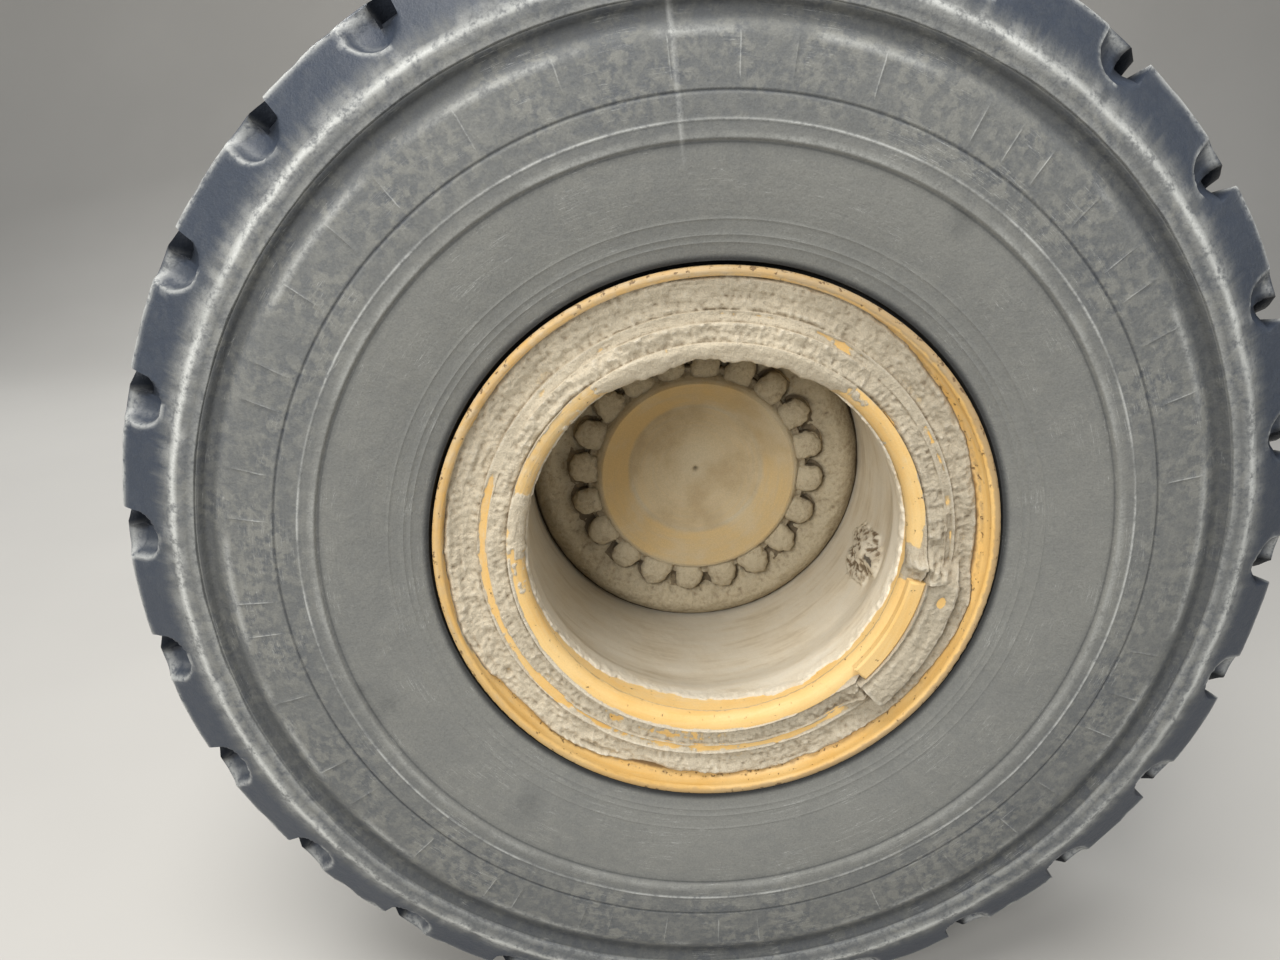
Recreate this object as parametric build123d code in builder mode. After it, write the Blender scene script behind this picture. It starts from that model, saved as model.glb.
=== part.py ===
"""Wheel end of a loader: tyre, five-piece rim, planetary hub and the spindle that carries them.

Millimetres, +Z up. The origin is the centre of the mount face, where the brake housing bolts to the
axle. The axle runs along Y and the outboard side, with the hub cover, looks along -Y. In sketches the
first coordinate is the radius and the second is "out", the distance outboard of the mount face.
"""

import math
import os

from build123d import *

os.makedirs("parts", exist_ok=True)

# Rim. The bead seat's radius and the rim's width drive the rest of the wheel
rim_w = 495.0
bead_seat_r = 317.5
bead_taper_deg = 5.0
flange_h = 63.5
flange_curl_r = 31.5
flange_t = 12.5
flange_tip_reach = 3.0
band_w = 117.5
stop_lip_h = 6.0
stop_lip_t = 6.0
seat_gap = 0.3
seat_to_base = 21.5
base_t = 16.0
back_t = 3.0
gutter_t = 34.0
gutter_floor_depth = 19.0
gutter_lip_drop = 12.0
gutter_reach = 24.5
gutter_round = 19.0
gutter_len = 82.0
lock_groove_reach = 10.5
lock_groove_w = 18.0
lock_land_w = 4.0
lock_lip = 2.0
lock_rib = 4.0
lock_shoulder_w = 5.0
band_recess_h = 13.5
band_chamfer_w = 6.0
lock_ring_split_w = 12.0
lock_ring_split_deg = 155.0

half_rim_w = rim_w / 2
base_r = bead_seat_r - seat_to_base
base_bore_r = base_r - base_t
back_bore_r = base_r - back_t
gutter_bore_r = base_r - gutter_t
gutter_lip_r = base_r - gutter_lip_drop
gutter_floor_r = base_r - gutter_floor_depth
gutter_front = half_rim_w + gutter_reach
lock_groove_near = half_rim_w + lock_groove_reach
lock_groove_far = lock_groove_near - lock_groove_w
land_far = lock_groove_far - lock_land_w
band_recess_r = base_r + band_recess_h
band_chamfer_far = land_far + band_chamfer_w

# Tyre, whose beads sit on the rim and whose tread hangs on the crown
crown_r = 808.0
bulge_w = 58.5
shoulder_drop = 17.0
shoulder_inset = 50.0
crown_bevel_w = 126.0
ridge_drop = 102.0
ridge_inset = 7.0
ridge_band_h = 23.0
ring_groove_w = 5.0
ring_groove_depth = 9.0
flat_wall_drop = 190.0
flat_wall_rise = 166.5
lower_wall_rise = 78.5
lower_wall_inset = 25.0
flange_leave_rise = 54.5
casing_t = 34.0
bead_w = 62.0

section_half_w = half_rim_w + bulge_w
shoulder_r = crown_r - shoulder_drop
shoulder_half_w = section_half_w - shoulder_inset
crown_flat_half_w = shoulder_half_w - crown_bevel_w
ridge_r = crown_r - ridge_drop
ridge_half_w = section_half_w - ridge_inset
ridge_inner_r = ridge_r - ridge_band_h
ring_groove_r = ridge_inner_r - ring_groove_w
flat_wall_outer_r = crown_r - flat_wall_drop
flat_wall_inner_r = bead_seat_r + flat_wall_rise
lower_wall_r = bead_seat_r + lower_wall_rise
lower_wall_half_w = section_half_w - lower_wall_inset
flange_leave_r = bead_seat_r + flange_leave_rise

# Lugs
lug_count = 26
lug_phase_deg = 12.2
lug_groove_w = 56.0
lug_groove_depth = 37.0
lug_groove_len = 160.0
lug_scoop_drop = 71.0

lug_groove_end_half_w = shoulder_half_w - lug_groove_len
lug_scoop_r = crown_r - lug_scoop_drop

# Driver key
key_deg = -25.5
key_half_span_deg = 16.5
key_web_half_span_deg = 9.0
key_bar_inset = 4.0
key_bar_w = 24.0
key_pad_rise = 19.0
key_pad_w = 33.0
key_t = 14.0

key_bar_r = gutter_bore_r + key_bar_inset
key_pad_r = gutter_lip_r + key_pad_rise

# Wheel disc and its studs, set in from the wheel's centre plane
wheel_centre = 310.0
disc_inset = 138.0
disc_t = 28.0
disc_w = 60.0
disc_weld = 8.0
stud_edge = 30.0
stud_count = 20
stud_r = 11.0
stud_hole_r = 13.0
stud_head_r = 16.0
stud_head_t = 12.0
stud_end_reach = 9.0
nut_flats = 36.0
nut_t = 22.0
washer_r = 20.0
washer_t = 5.0

disc_out = wheel_centre - disc_inset
disc_face = disc_out + disc_t
disc_bore_r = base_bore_r - disc_w
stud_circle_r = base_bore_r - stud_edge

# Hub
hub_flange_clear = 11.0
hub_flange_t = 32.0
hub_drum_clear = 4.0
hub_drum_round = 4.0
hub_drum_len = 44.0
hub_wall = 44.0
hub_floor_t = 18.0
hub_barrel_len = 30.0
hub_barrel_inset = 6.0
pilot_gap = 0.3
hole_end_gap = 2.0
run_gap = 0.05

hub_flange_out = disc_out - hub_flange_t
hub_flange_r = base_bore_r - hub_flange_clear
hub_drum_r = disc_bore_r - hub_drum_clear
hub_front = disc_face + hub_drum_len
hub_cavity_r = hub_drum_r - hub_wall
hub_floor = hub_flange_out + hub_floor_t
hub_barrel_r = hub_cavity_r - hub_barrel_inset
hub_barrel_out = hub_flange_out - hub_barrel_len

# Cover and its bolts
cover_t = 14.0
cover_bolt_edge = 28.0
cover_bolt_count = 20
cover_bolt_phase_deg = 15.3
cover_bolt_r = 8.0
cover_bolt_len = 32.0
cover_hole_gap = 0.5
cover_head_flats = 24.0
cover_head_t = 12.0
cover_lobe_r = 23.0
cover_valley_inset = 6.0
cover_foot_inset = 18.0
cover_rise_inset = 29.0
cover_rise_h = 19.0
cover_land_w = 4.0
cover_slope_w = 49.0
cover_dish_depth = 42.0
cover_wall = 12.0
centre_mark_r = 5.0
centre_mark_depth = 6.0

cover_bolt_circle_r = hub_drum_r - cover_bolt_edge
cover_r = cover_bolt_circle_r - cover_valley_inset
cover_rise_foot_r = cover_bolt_circle_r - cover_foot_inset
cover_rise_r = cover_bolt_circle_r - cover_rise_inset
cover_dish_r = cover_rise_r - cover_slope_w

# Brake housing, bolted to the axle
brake_drum_r = 162.0
brake_to_barrel = 42.0
brake_drum_round = 10.0
mount_flange_w = 44.0
mount_flange_t = 24.0
mount_hole_edge = 20.0
mount_hole_count = 16
mount_hole_r = 9.0

brake_drum_out = hub_barrel_out - brake_to_barrel
mount_flange_r = brake_drum_r + mount_flange_w
mount_circle_r = mount_flange_r - mount_hole_edge

# Spindle
spindle_tail_r = 100.0
spindle_tail_out = 2.0
spindle_flange_inset = 6.0
spindle_flange_t = 14.0
seal_journal_r = 112.0
inner_journal_r = 90.0
inner_journal_inset = 4.0
outer_journal_r = 70.0
shaft_bore_r = 38.0
spindle_bolt_edge = 18.0
spindle_bolt_count = 12
spindle_bolt_r = 7.0
spindle_bolt_len = 34.0
spindle_head_flats = 20.0
spindle_head_t = 11.0

spindle_face = brake_drum_out + spindle_flange_t
spindle_end_out = disc_out
spindle_flange_r = brake_drum_r - spindle_flange_inset
inner_journal_out = hub_flange_out - inner_journal_inset
spindle_bolt_circle_r = spindle_flange_r - spindle_bolt_edge

# Hub seal
seal_ring_t = 10.0
seal_ring_w = 42.5
seal_run_gap = 5.5

seal_bore_r = seal_journal_r + seal_run_gap
seal_ring_r = seal_bore_r + seal_ring_w

# Planet gears, one plain block in the hub's cavity
gear_block_gap = 4.0

# Valve
valve_deg = -18.0
valve_reach = 88.0
valve_r = 9.0
valve_stem_r = 5.0
valve_stem_len = 58.0
valve_stand = 20.0

valve_out = wheel_centre + valve_reach

# The half section that every turned piece is drawn on, and the planes that face outboard
PROFILE = Plane(origin=(0, 0, 0), x_dir=(1, 0, 0), z_dir=(0, 0, -1))


def face_at(out):
    return Plane(origin=(0, -out, 0), x_dir=(1, 0, 0), z_dir=(0, -1, 0))


def turn_about(angle_deg, out):
    """A plane facing outboard whose first axis points at the angle, measured from +X towards +Z."""
    a = math.radians(angle_deg)
    return Plane(origin=(0, -out, 0), x_dir=(math.cos(a), 0, math.sin(a)), z_dir=(0, -1, 0))


def save(builder, name):
    builder.part.label = name
    export_step(builder.part, f"parts/{name}.step")


def hexagon(flats):
    return RegularPolygon(flats / 2, 6, major_radius=False)


taper = math.tan(math.radians(bead_taper_deg))
band_toe_r = bead_seat_r - band_w * taper
flange_top_r = bead_seat_r + flange_h
curl_centre_r = flange_top_r - flange_curl_r
curl_centre_w = half_rim_w + flange_curl_r
web_outer_w = half_rim_w + flange_t
stop_w = web_outer_w + seat_gap
stop_lip_r = bead_seat_r + stop_lip_h


# Tyre casing with its tread, one side mirrored from the other
def tyre_outline(side):
    """The outer wall from bead toe to crown centre, on one side of the wheel's centre plane."""

    def at(r, half_w):
        return (r, wheel_centre + side * half_w)

    toe_r = bead_seat_r + seat_gap - bead_w * taper
    Polyline(
        at(toe_r, half_rim_w - bead_w),
        at(bead_seat_r + seat_gap, half_rim_w - seat_gap),
        at(flange_leave_r, half_rim_w - seat_gap),
        at(lower_wall_r, lower_wall_half_w),
        at(flat_wall_inner_r, section_half_w),
        at(flat_wall_outer_r, section_half_w),
        at(ring_groove_r, ridge_half_w - ring_groove_depth),
        at(ridge_inner_r, ridge_half_w),
        at(ridge_r, ridge_half_w),
        at(shoulder_r, shoulder_half_w),
        at(crown_r, crown_flat_half_w),
        at(crown_r, 0),
    )


def liner_outline(side):
    """The inner wall, which is closed off from view, kept plain: straight up from the bead's toe."""

    def at(r, half_w):
        return (r, wheel_centre + side * half_w)

    toe_r = bead_seat_r + seat_gap - bead_w * taper
    liner_r = crown_r - lug_groove_depth - casing_t
    Polyline(
        at(toe_r, half_rim_w - bead_w),
        at(liner_r, half_rim_w - bead_w),
        at(liner_r, 0),
    )


def lug_groove_outline(side):
    """The groove between two lugs, seen along the tread: it deepens towards the shoulder and runs out there."""
    Polyline(
        (crown_r + casing_t, side * (lug_groove_end_half_w - lug_groove_depth / 2)),
        (crown_r - lug_groove_depth, side * lug_groove_end_half_w),
        (lug_scoop_r, side * (ridge_half_w + casing_t)),
        (crown_r + casing_t, side * (ridge_half_w + casing_t)),
        close=True,
    )


lug_pitch_deg = 360 / lug_count
lug_grooves = []
for lug_side, lug_start_deg in ((1, lug_phase_deg), (-1, lug_phase_deg + lug_pitch_deg / 2)):
    with BuildPart() as lug_groove:
        with BuildSketch(Plane.XZ):
            with BuildLine():
                lug_groove_outline(lug_side)
            make_face()
        extrude(amount=lug_groove_w / 2, both=True)
    lug_grooves.append((lug_groove.part, lug_start_deg))

with BuildPart(face_at(wheel_centre)) as tyre:
    with BuildSketch(PROFILE):
        with BuildLine():
            tyre_outline(1)
            liner_outline(1)
            tyre_outline(-1)
            liner_outline(-1)
        make_face()
    revolve(axis=Axis.Y)
    for groove, groove_start_deg in lug_grooves:
        with PolarLocations(0, lug_count, start_angle=groove_start_deg):
            add(groove, mode=Mode.SUBTRACT)
save(tyre, "tyre")

# Rim base with its gutter on the outboard side and the fixed bead seat on the inboard side
with BuildPart() as rim_base:
    with BuildSketch(PROFILE):
        with BuildLine():
            front = wheel_centre + gutter_front
            Polyline(
                (gutter_bore_r + gutter_round, front),
                (gutter_lip_r, front),
                (gutter_lip_r, wheel_centre + lock_groove_near),
                (gutter_floor_r, wheel_centre + lock_groove_near),
                (gutter_floor_r, wheel_centre + lock_groove_far),
                (base_r, wheel_centre + land_far),
                (base_r, wheel_centre - half_rim_w + band_w + stop_lip_t),
                (band_toe_r, wheel_centre - half_rim_w + band_w),
                (bead_seat_r, wheel_centre - half_rim_w),
                (bead_seat_r, wheel_centre - stop_w),
                (stop_lip_r, wheel_centre - stop_w),
                (stop_lip_r, wheel_centre - stop_w - stop_lip_t),
                (back_bore_r, wheel_centre - stop_w - stop_lip_t),
                (back_bore_r, wheel_centre - half_rim_w + band_w / 2),
                (base_bore_r, wheel_centre - half_rim_w + band_w),
                (base_bore_r, front - gutter_len - gutter_round),
                (gutter_bore_r, front - gutter_len),
                (gutter_bore_r, front - gutter_round),
            )
            RadiusArc(
                (gutter_bore_r, front - gutter_round), (gutter_bore_r + gutter_round, front), gutter_round
            )
        make_face()
    revolve(axis=Axis.Y)
save(rim_base, "rim_base")

# Bead seat band, which slides on over the gutter end
with BuildPart() as bead_seat_band:
    with BuildSketch(PROFILE):
        with BuildLine():
            Polyline(
                (base_r + seat_gap, wheel_centre + half_rim_w - band_w),
                (band_toe_r, wheel_centre + half_rim_w - band_w),
                (bead_seat_r, wheel_centre + half_rim_w),
                (bead_seat_r, wheel_centre + stop_w),
                (stop_lip_r, wheel_centre + stop_w),
                (stop_lip_r, wheel_centre + stop_w + stop_lip_t),
                (band_recess_r, wheel_centre + stop_w + stop_lip_t),
                (band_recess_r, wheel_centre + band_chamfer_far),
                (base_r + seat_gap, wheel_centre + land_far),
                close=True,
            )
        make_face()
    revolve(axis=Axis.Y)
save(bead_seat_band, "bead_seat_band")

# Split lock ring, which snaps into the gutter's groove and holds the band
lock_face = lock_groove_near - seat_gap
with BuildPart() as lock_ring:
    with BuildSketch(PROFILE):
        with BuildLine():
            Polyline(
                (gutter_floor_r + seat_gap, wheel_centre + lock_face),
                (gutter_lip_r + seat_gap, wheel_centre + lock_face),
                (gutter_lip_r + lock_lip, wheel_centre + lock_face + lock_rib),
                (band_recess_r - lock_shoulder_w, wheel_centre + lock_face + lock_rib),
                (band_recess_r - seat_gap, wheel_centre + lock_face),
                (band_recess_r - seat_gap, wheel_centre + band_chamfer_far + seat_gap),
                (base_r + seat_gap, wheel_centre + land_far + 2 * seat_gap),
                (gutter_lip_r, wheel_centre + lock_groove_far + seat_gap),
                (gutter_floor_r + seat_gap, wheel_centre + lock_groove_far + seat_gap),
                close=True,
            )
        make_face()
    revolve(axis=Axis.Y)
    with BuildSketch(turn_about(lock_ring_split_deg, wheel_centre + land_far)):
        with Locations((base_r, 0)):
            Rectangle(2 * (base_r - gutter_floor_r + stop_lip_h), lock_ring_split_w)
    extrude(amount=gutter_front - land_far, mode=Mode.SUBTRACT)
save(lock_ring, "lock_ring")


# Side rings, the flanges that hold the tyre's beads
def side_ring_outline(side):
    def at(r, half_w):
        return (r, wheel_centre + side * half_w)

    curl_w = curl_centre_w
    tip_w = curl_w + flange_tip_reach
    diagonal = math.sqrt(0.5)
    inner_curl_r = flange_curl_r - flange_t
    Polyline(
        at(curl_centre_r, web_outer_w),
        at(bead_seat_r + seat_gap, web_outer_w),
        at(bead_seat_r + seat_gap, half_rim_w),
        at(curl_centre_r, half_rim_w),
    )
    ThreePointArc(
        at(curl_centre_r, half_rim_w),
        at(curl_centre_r + flange_curl_r * diagonal, curl_w - flange_curl_r * diagonal),
        at(flange_top_r, curl_w),
    )
    Line(at(flange_top_r, curl_w), at(flange_top_r, tip_w))
    ThreePointArc(
        at(flange_top_r, tip_w),
        at(flange_top_r - flange_t / 2, tip_w + flange_t / 2),
        at(flange_top_r - flange_t, tip_w),
    )
    Line(at(flange_top_r - flange_t, tip_w), at(flange_top_r - flange_t, curl_w))
    ThreePointArc(
        at(flange_top_r - flange_t, curl_w),
        at(curl_centre_r + inner_curl_r * diagonal, curl_w - inner_curl_r * diagonal),
        at(curl_centre_r, web_outer_w),
    )


for ring_name, ring_side in (("side_ring_outboard", 1), ("side_ring_inboard", -1)):
    with BuildPart() as side_ring:
        with BuildSketch(PROFILE):
            with BuildLine():
                side_ring_outline(ring_side)
            make_face()
        revolve(axis=Axis.Y)
    save(side_ring, ring_name)

# Driver key across the gutter and the band, so that the rings can't creep round the base
key_out = wheel_centre + gutter_front + seat_gap


def curved_bar(inner_r, width, half_span_deg):
    """The outline of a bar that follows the rim, symmetrical about the sketch's first axis."""
    outer = CenterArc((0, 0), inner_r + width, -half_span_deg, 2 * half_span_deg)
    inner = CenterArc((0, 0), inner_r, -half_span_deg, 2 * half_span_deg)
    Line(outer @ 0, inner @ 0)
    Line(outer @ 1, inner @ 1)


# inner radius, width, half span in degrees, thickness
key_bars = (
    (key_bar_r, key_bar_w, key_half_span_deg, key_t),
    (key_pad_r, key_pad_w, key_half_span_deg, key_t),
    (key_bar_r, key_pad_r + key_pad_w - key_bar_r, key_web_half_span_deg, key_t / 2),
)
with BuildPart() as driver_key:
    for bar_r, bar_w, bar_half_span, bar_t in key_bars:
        with BuildSketch(turn_about(key_deg, key_out)):
            with BuildLine():
                curved_bar(bar_r, bar_w, bar_half_span)
            make_face()
        extrude(amount=bar_t)
    chamfer(driver_key.edges().group_by(Axis.Y)[0], key_t / 5)
save(driver_key, "driver_key")

# Wheel disc, welded in the rim's bore
with BuildPart() as wheel_disc:
    with BuildSketch(PROFILE):
        with BuildLine():
            Polyline(
                (disc_bore_r, disc_out),
                (base_bore_r - disc_weld, disc_out),
                (base_bore_r - seat_gap, disc_out - disc_weld),
                (base_bore_r - seat_gap, disc_face + disc_weld),
                (base_bore_r - disc_weld, disc_face),
                (disc_bore_r, disc_face),
                close=True,
            )
        make_face()
    revolve(axis=Axis.Y)
    with BuildSketch(face_at(disc_out)):
        with PolarLocations(stud_circle_r, stud_count):
            Circle(stud_hole_r)
    extrude(amount=disc_t, mode=Mode.SUBTRACT)
save(wheel_disc, "wheel_disc")

# Hub: planet housing, stud flange and the barrel that runs on the spindle
with BuildPart() as hub:
    with BuildSketch(PROFILE):
        with BuildLine():
            Polyline(
                (inner_journal_r + run_gap, hub_barrel_out),
                (hub_barrel_r, hub_barrel_out),
                (hub_barrel_r, hub_flange_out),
                (hub_flange_r, hub_flange_out),
                (hub_flange_r, disc_out),
                (disc_bore_r - pilot_gap, disc_out),
                (disc_bore_r - pilot_gap, disc_face),
                (hub_drum_r, disc_face),
                (hub_drum_r, hub_front - hub_drum_round),
                (hub_drum_r - hub_drum_round, hub_front),
                (hub_cavity_r, hub_front),
                (hub_cavity_r, hub_floor),
                (outer_journal_r + run_gap, hub_floor),
                (outer_journal_r + run_gap, inner_journal_out),
                (inner_journal_r + run_gap, inner_journal_out),
                close=True,
            )
        make_face()
    revolve(axis=Axis.Y)
    with BuildSketch(face_at(hub_flange_out)):
        with PolarLocations(stud_circle_r, stud_count):
            Circle(stud_r + pilot_gap)
    extrude(amount=hub_flange_t, mode=Mode.SUBTRACT)
    with BuildSketch(face_at(hub_front)):
        with PolarLocations(cover_bolt_circle_r, cover_bolt_count, start_angle=cover_bolt_phase_deg):
            Circle(cover_bolt_r + pilot_gap)
    extrude(amount=cover_t - cover_bolt_len - hole_end_gap, mode=Mode.SUBTRACT)
save(hub, "hub")

# Wheel studs with their washers and nuts
with BuildPart() as wheel_studs:
    with BuildSketch(face_at(hub_flange_out - stud_head_t)):
        with PolarLocations(stud_circle_r, stud_count):
            Circle(stud_head_r)
    extrude(amount=stud_head_t)
    with BuildSketch(face_at(hub_flange_out)):
        with PolarLocations(stud_circle_r, stud_count):
            Circle(stud_r)
    extrude(amount=hub_flange_t + disc_t + washer_t + nut_t + stud_end_reach)
    with BuildSketch(face_at(disc_face)):
        with PolarLocations(stud_circle_r, stud_count):
            Circle(washer_r)
    extrude(amount=washer_t)
    with BuildSketch(face_at(disc_face + washer_t)):
        with PolarLocations(stud_circle_r, stud_count):
            hexagon(nut_flats)
    extrude(amount=nut_t)
save(wheel_studs, "wheel_studs")

# Final drive cover: scalloped bolting ring, raised rim and a dished middle
cover_face = hub_front + cover_t
rise_out = cover_face + cover_rise_h
dish_floor = rise_out - cover_dish_depth
with BuildPart() as final_drive_cover:
    with BuildSketch(face_at(hub_front)):
        Circle(cover_r)
        with PolarLocations(cover_bolt_circle_r, cover_bolt_count, start_angle=cover_bolt_phase_deg):
            Circle(cover_lobe_r)
    extrude(amount=cover_t)
    with BuildSketch(PROFILE):
        with BuildLine():
            Polyline(
                (0, dish_floor - cover_wall),
                (cover_dish_r, dish_floor - cover_wall),
                (cover_rise_r - cover_wall, hub_front),
                (cover_rise_foot_r, hub_front),
                (cover_rise_foot_r, cover_face),
                (cover_rise_r + cover_land_w, rise_out - cover_land_w),
                (cover_rise_r, rise_out),
                (cover_rise_r - cover_land_w, rise_out),
                (cover_dish_r, dish_floor),
                (centre_mark_r, dish_floor),
                (0, dish_floor - centre_mark_depth),
                close=True,
            )
        make_face()
    revolve(axis=Axis.Y)
    with BuildSketch(PROFILE):
        with BuildLine():
            Polyline(
                (0, rise_out),
                (cover_rise_r - cover_land_w, rise_out),
                (cover_dish_r, dish_floor),
                (centre_mark_r, dish_floor),
                (0, dish_floor - centre_mark_depth),
                close=True,
            )
        make_face()
    revolve(axis=Axis.Y, mode=Mode.SUBTRACT)
    with BuildSketch(PROFILE):
        with BuildLine():
            Polyline(
                (0, hub_front - cover_dish_depth),
                (0, dish_floor - cover_wall),
                (cover_dish_r, dish_floor - cover_wall),
                (cover_rise_r - cover_wall, hub_front),
                (cover_rise_r - cover_wall, hub_front - cover_dish_depth),
                close=True,
            )
        make_face()
    revolve(axis=Axis.Y, mode=Mode.SUBTRACT)
    with BuildSketch(face_at(hub_front)):
        with PolarLocations(cover_bolt_circle_r, cover_bolt_count, start_angle=cover_bolt_phase_deg):
            Circle(cover_bolt_r + cover_hole_gap)
    extrude(amount=cover_t, mode=Mode.SUBTRACT)
save(final_drive_cover, "final_drive_cover")

# Cover bolts
with BuildPart() as cover_bolts:
    with BuildSketch(face_at(cover_face)):
        with PolarLocations(cover_bolt_circle_r, cover_bolt_count, start_angle=cover_bolt_phase_deg):
            hexagon(cover_head_flats)
    extrude(amount=cover_head_t)
    with BuildSketch(face_at(cover_face)):
        with PolarLocations(cover_bolt_circle_r, cover_bolt_count, start_angle=cover_bolt_phase_deg):
            Circle(cover_bolt_r)
    extrude(amount=-cover_bolt_len)
save(cover_bolts, "cover_bolts")

# Planet gears, a plain block seated in the hub's cavity wall and clear of the spindle and the cover
with BuildPart() as planet_gear_block:
    with BuildSketch(face_at(spindle_end_out + gear_block_gap)):
        Circle(hub_cavity_r - seat_gap)
    extrude(amount=dish_floor - cover_wall - spindle_end_out - 2 * gear_block_gap)
save(planet_gear_block, "planet_gear_block")

# Hub seal ring on the barrel's inboard face
with BuildPart() as hub_seal_ring:
    with BuildSketch(face_at(hub_barrel_out - seal_ring_t)):
        Circle(seal_ring_r)
        Circle(seal_bore_r, mode=Mode.SUBTRACT)
    extrude(amount=seal_ring_t)
save(hub_seal_ring, "hub_seal_ring")

# Brake housing, whose inboard flange bolts to the axle
with BuildPart() as brake_housing:
    with BuildSketch(PROFILE):
        with BuildLine():
            Polyline(
                (spindle_tail_r + seat_gap, 0),
                (mount_flange_r, 0),
                (mount_flange_r, mount_flange_t),
                (brake_drum_r, mount_flange_t),
                (brake_drum_r, brake_drum_out - brake_drum_round),
                (brake_drum_r - brake_drum_round / 2, brake_drum_out),
                (spindle_tail_r + seat_gap, brake_drum_out),
                close=True,
            )
        make_face()
    revolve(axis=Axis.Y)
    with BuildSketch(face_at(0)):
        with PolarLocations(mount_circle_r, mount_hole_count):
            Circle(mount_hole_r)
    extrude(amount=mount_flange_t, mode=Mode.SUBTRACT)
    with BuildSketch(face_at(brake_drum_out)):
        with PolarLocations(spindle_bolt_circle_r, spindle_bolt_count):
            Circle(spindle_bolt_r + pilot_gap)
    extrude(amount=spindle_flange_t - spindle_bolt_len - hole_end_gap, mode=Mode.SUBTRACT)
save(brake_housing, "brake_housing")

# Spindle with its two bearing journals
with BuildPart() as spindle:
    with BuildSketch(PROFILE):
        with BuildLine():
            Polyline(
                (shaft_bore_r, spindle_tail_out),
                (spindle_tail_r, spindle_tail_out),
                (spindle_tail_r, brake_drum_out),
                (spindle_flange_r, brake_drum_out),
                (spindle_flange_r, spindle_face),
                (seal_journal_r, spindle_face),
                (seal_journal_r, hub_barrel_out - seal_ring_t / 2),
                (inner_journal_r, hub_barrel_out - seal_ring_t / 2),
                (inner_journal_r, inner_journal_out - pilot_gap),
                (outer_journal_r, inner_journal_out - pilot_gap),
                (outer_journal_r, spindle_end_out),
                (shaft_bore_r, spindle_end_out),
                close=True,
            )
        make_face()
    revolve(axis=Axis.Y)
    with BuildSketch(face_at(brake_drum_out)):
        with PolarLocations(spindle_bolt_circle_r, spindle_bolt_count):
            Circle(spindle_bolt_r + pilot_gap)
    extrude(amount=spindle_flange_t, mode=Mode.SUBTRACT)
save(spindle, "spindle")

# Spindle bolts
with BuildPart() as spindle_bolts:
    with BuildSketch(face_at(spindle_face)):
        with PolarLocations(spindle_bolt_circle_r, spindle_bolt_count):
            hexagon(spindle_head_flats)
    extrude(amount=spindle_head_t)
    with BuildSketch(face_at(spindle_face)):
        with PolarLocations(spindle_bolt_circle_r, spindle_bolt_count):
            Circle(spindle_bolt_r)
    extrude(amount=-spindle_bolt_len)
save(spindle_bolts, "spindle_bolts")

# Valve: a spud on the rim's bore and a stem that points outboard
valve_angle = math.radians(valve_deg)
valve_dir = (math.cos(valve_angle), 0, math.sin(valve_angle))
spud_top_r = base_bore_r - valve_stand
with BuildPart() as valve_stem:
    with BuildSketch(
        Plane(
            origin=(valve_dir[0] * spud_top_r, -valve_out, valve_dir[2] * spud_top_r),
            x_dir=(0, -1, 0),
            z_dir=valve_dir,
        )
    ):
        Circle(valve_r)
    extrude(amount=valve_stand - 1.5 * seat_gap)
    with BuildSketch(turn_about(valve_deg, valve_out)):
        with Locations((spud_top_r + valve_stem_r, 0)):
            Circle(valve_stem_r)
    extrude(amount=valve_stem_len)
save(valve_stem, "valve_stem")
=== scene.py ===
"""A loader's wheel end in worn, mud-caked use: tyre, five-piece rim, planetary hub and spindle.

Metres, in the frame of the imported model. The axle runs along Y and the outboard side looks along -Y.
In the code, "out" is the distance outboard of the mount face, so a point's Y is minus its out.
"""

import math
from types import SimpleNamespace

import bmesh
import bpy
import numpy as np
from bpy.props import FloatProperty, FloatVectorProperty, IntProperty, PointerProperty
from bpy.types import Operator, Panel, PropertyGroup
from mathutils import Matrix, Vector


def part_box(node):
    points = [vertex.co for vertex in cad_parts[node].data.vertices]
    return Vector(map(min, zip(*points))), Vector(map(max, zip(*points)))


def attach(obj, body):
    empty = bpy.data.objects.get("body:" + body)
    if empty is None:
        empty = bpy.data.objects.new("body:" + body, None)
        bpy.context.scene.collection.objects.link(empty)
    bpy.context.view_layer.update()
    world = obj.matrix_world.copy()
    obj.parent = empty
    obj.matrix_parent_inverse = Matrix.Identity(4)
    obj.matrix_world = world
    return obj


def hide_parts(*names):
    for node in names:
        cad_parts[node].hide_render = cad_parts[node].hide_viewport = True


bl_info = {
    "name": "Loader wheel end",
    "version": (1, 0, 0),
    "blender": (4, 5, 0),
    "location": "View3D > Sidebar > Wheel end",
    "description": "Dresses the packed wheel end with worn rubber, chipped paint and dried mud",
    "category": "Object",
}

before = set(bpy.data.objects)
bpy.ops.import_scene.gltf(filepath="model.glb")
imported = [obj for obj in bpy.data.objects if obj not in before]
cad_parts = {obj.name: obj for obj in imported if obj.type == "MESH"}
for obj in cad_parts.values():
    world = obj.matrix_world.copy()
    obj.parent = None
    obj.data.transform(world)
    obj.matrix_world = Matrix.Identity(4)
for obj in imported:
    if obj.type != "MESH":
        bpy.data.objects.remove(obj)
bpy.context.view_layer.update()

TAU = 2 * math.pi
tyre_low, tyre_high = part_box("tyre")
CROWN_RADIUS = (tyre_high.z - tyre_low.z) / 2
SECTION_HALF_WIDTH = (tyre_high.y - tyre_low.y) / 2
WHEEL_CENTRE = -(tyre_high.y + tyre_low.y) / 2
RIM_FRONT = -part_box("rim_base")[0].y
FLANGE_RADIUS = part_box("side_ring_outboard")[1].z
HUB_FRONT = -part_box("hub")[0].y
COVER_FRONT = -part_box("final_drive_cover")[0].y
valve_low, valve_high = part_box("valve_stem")
valve_middle = (valve_low + valve_high) / 2
VALVE_OUT = -valve_middle.y
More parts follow.
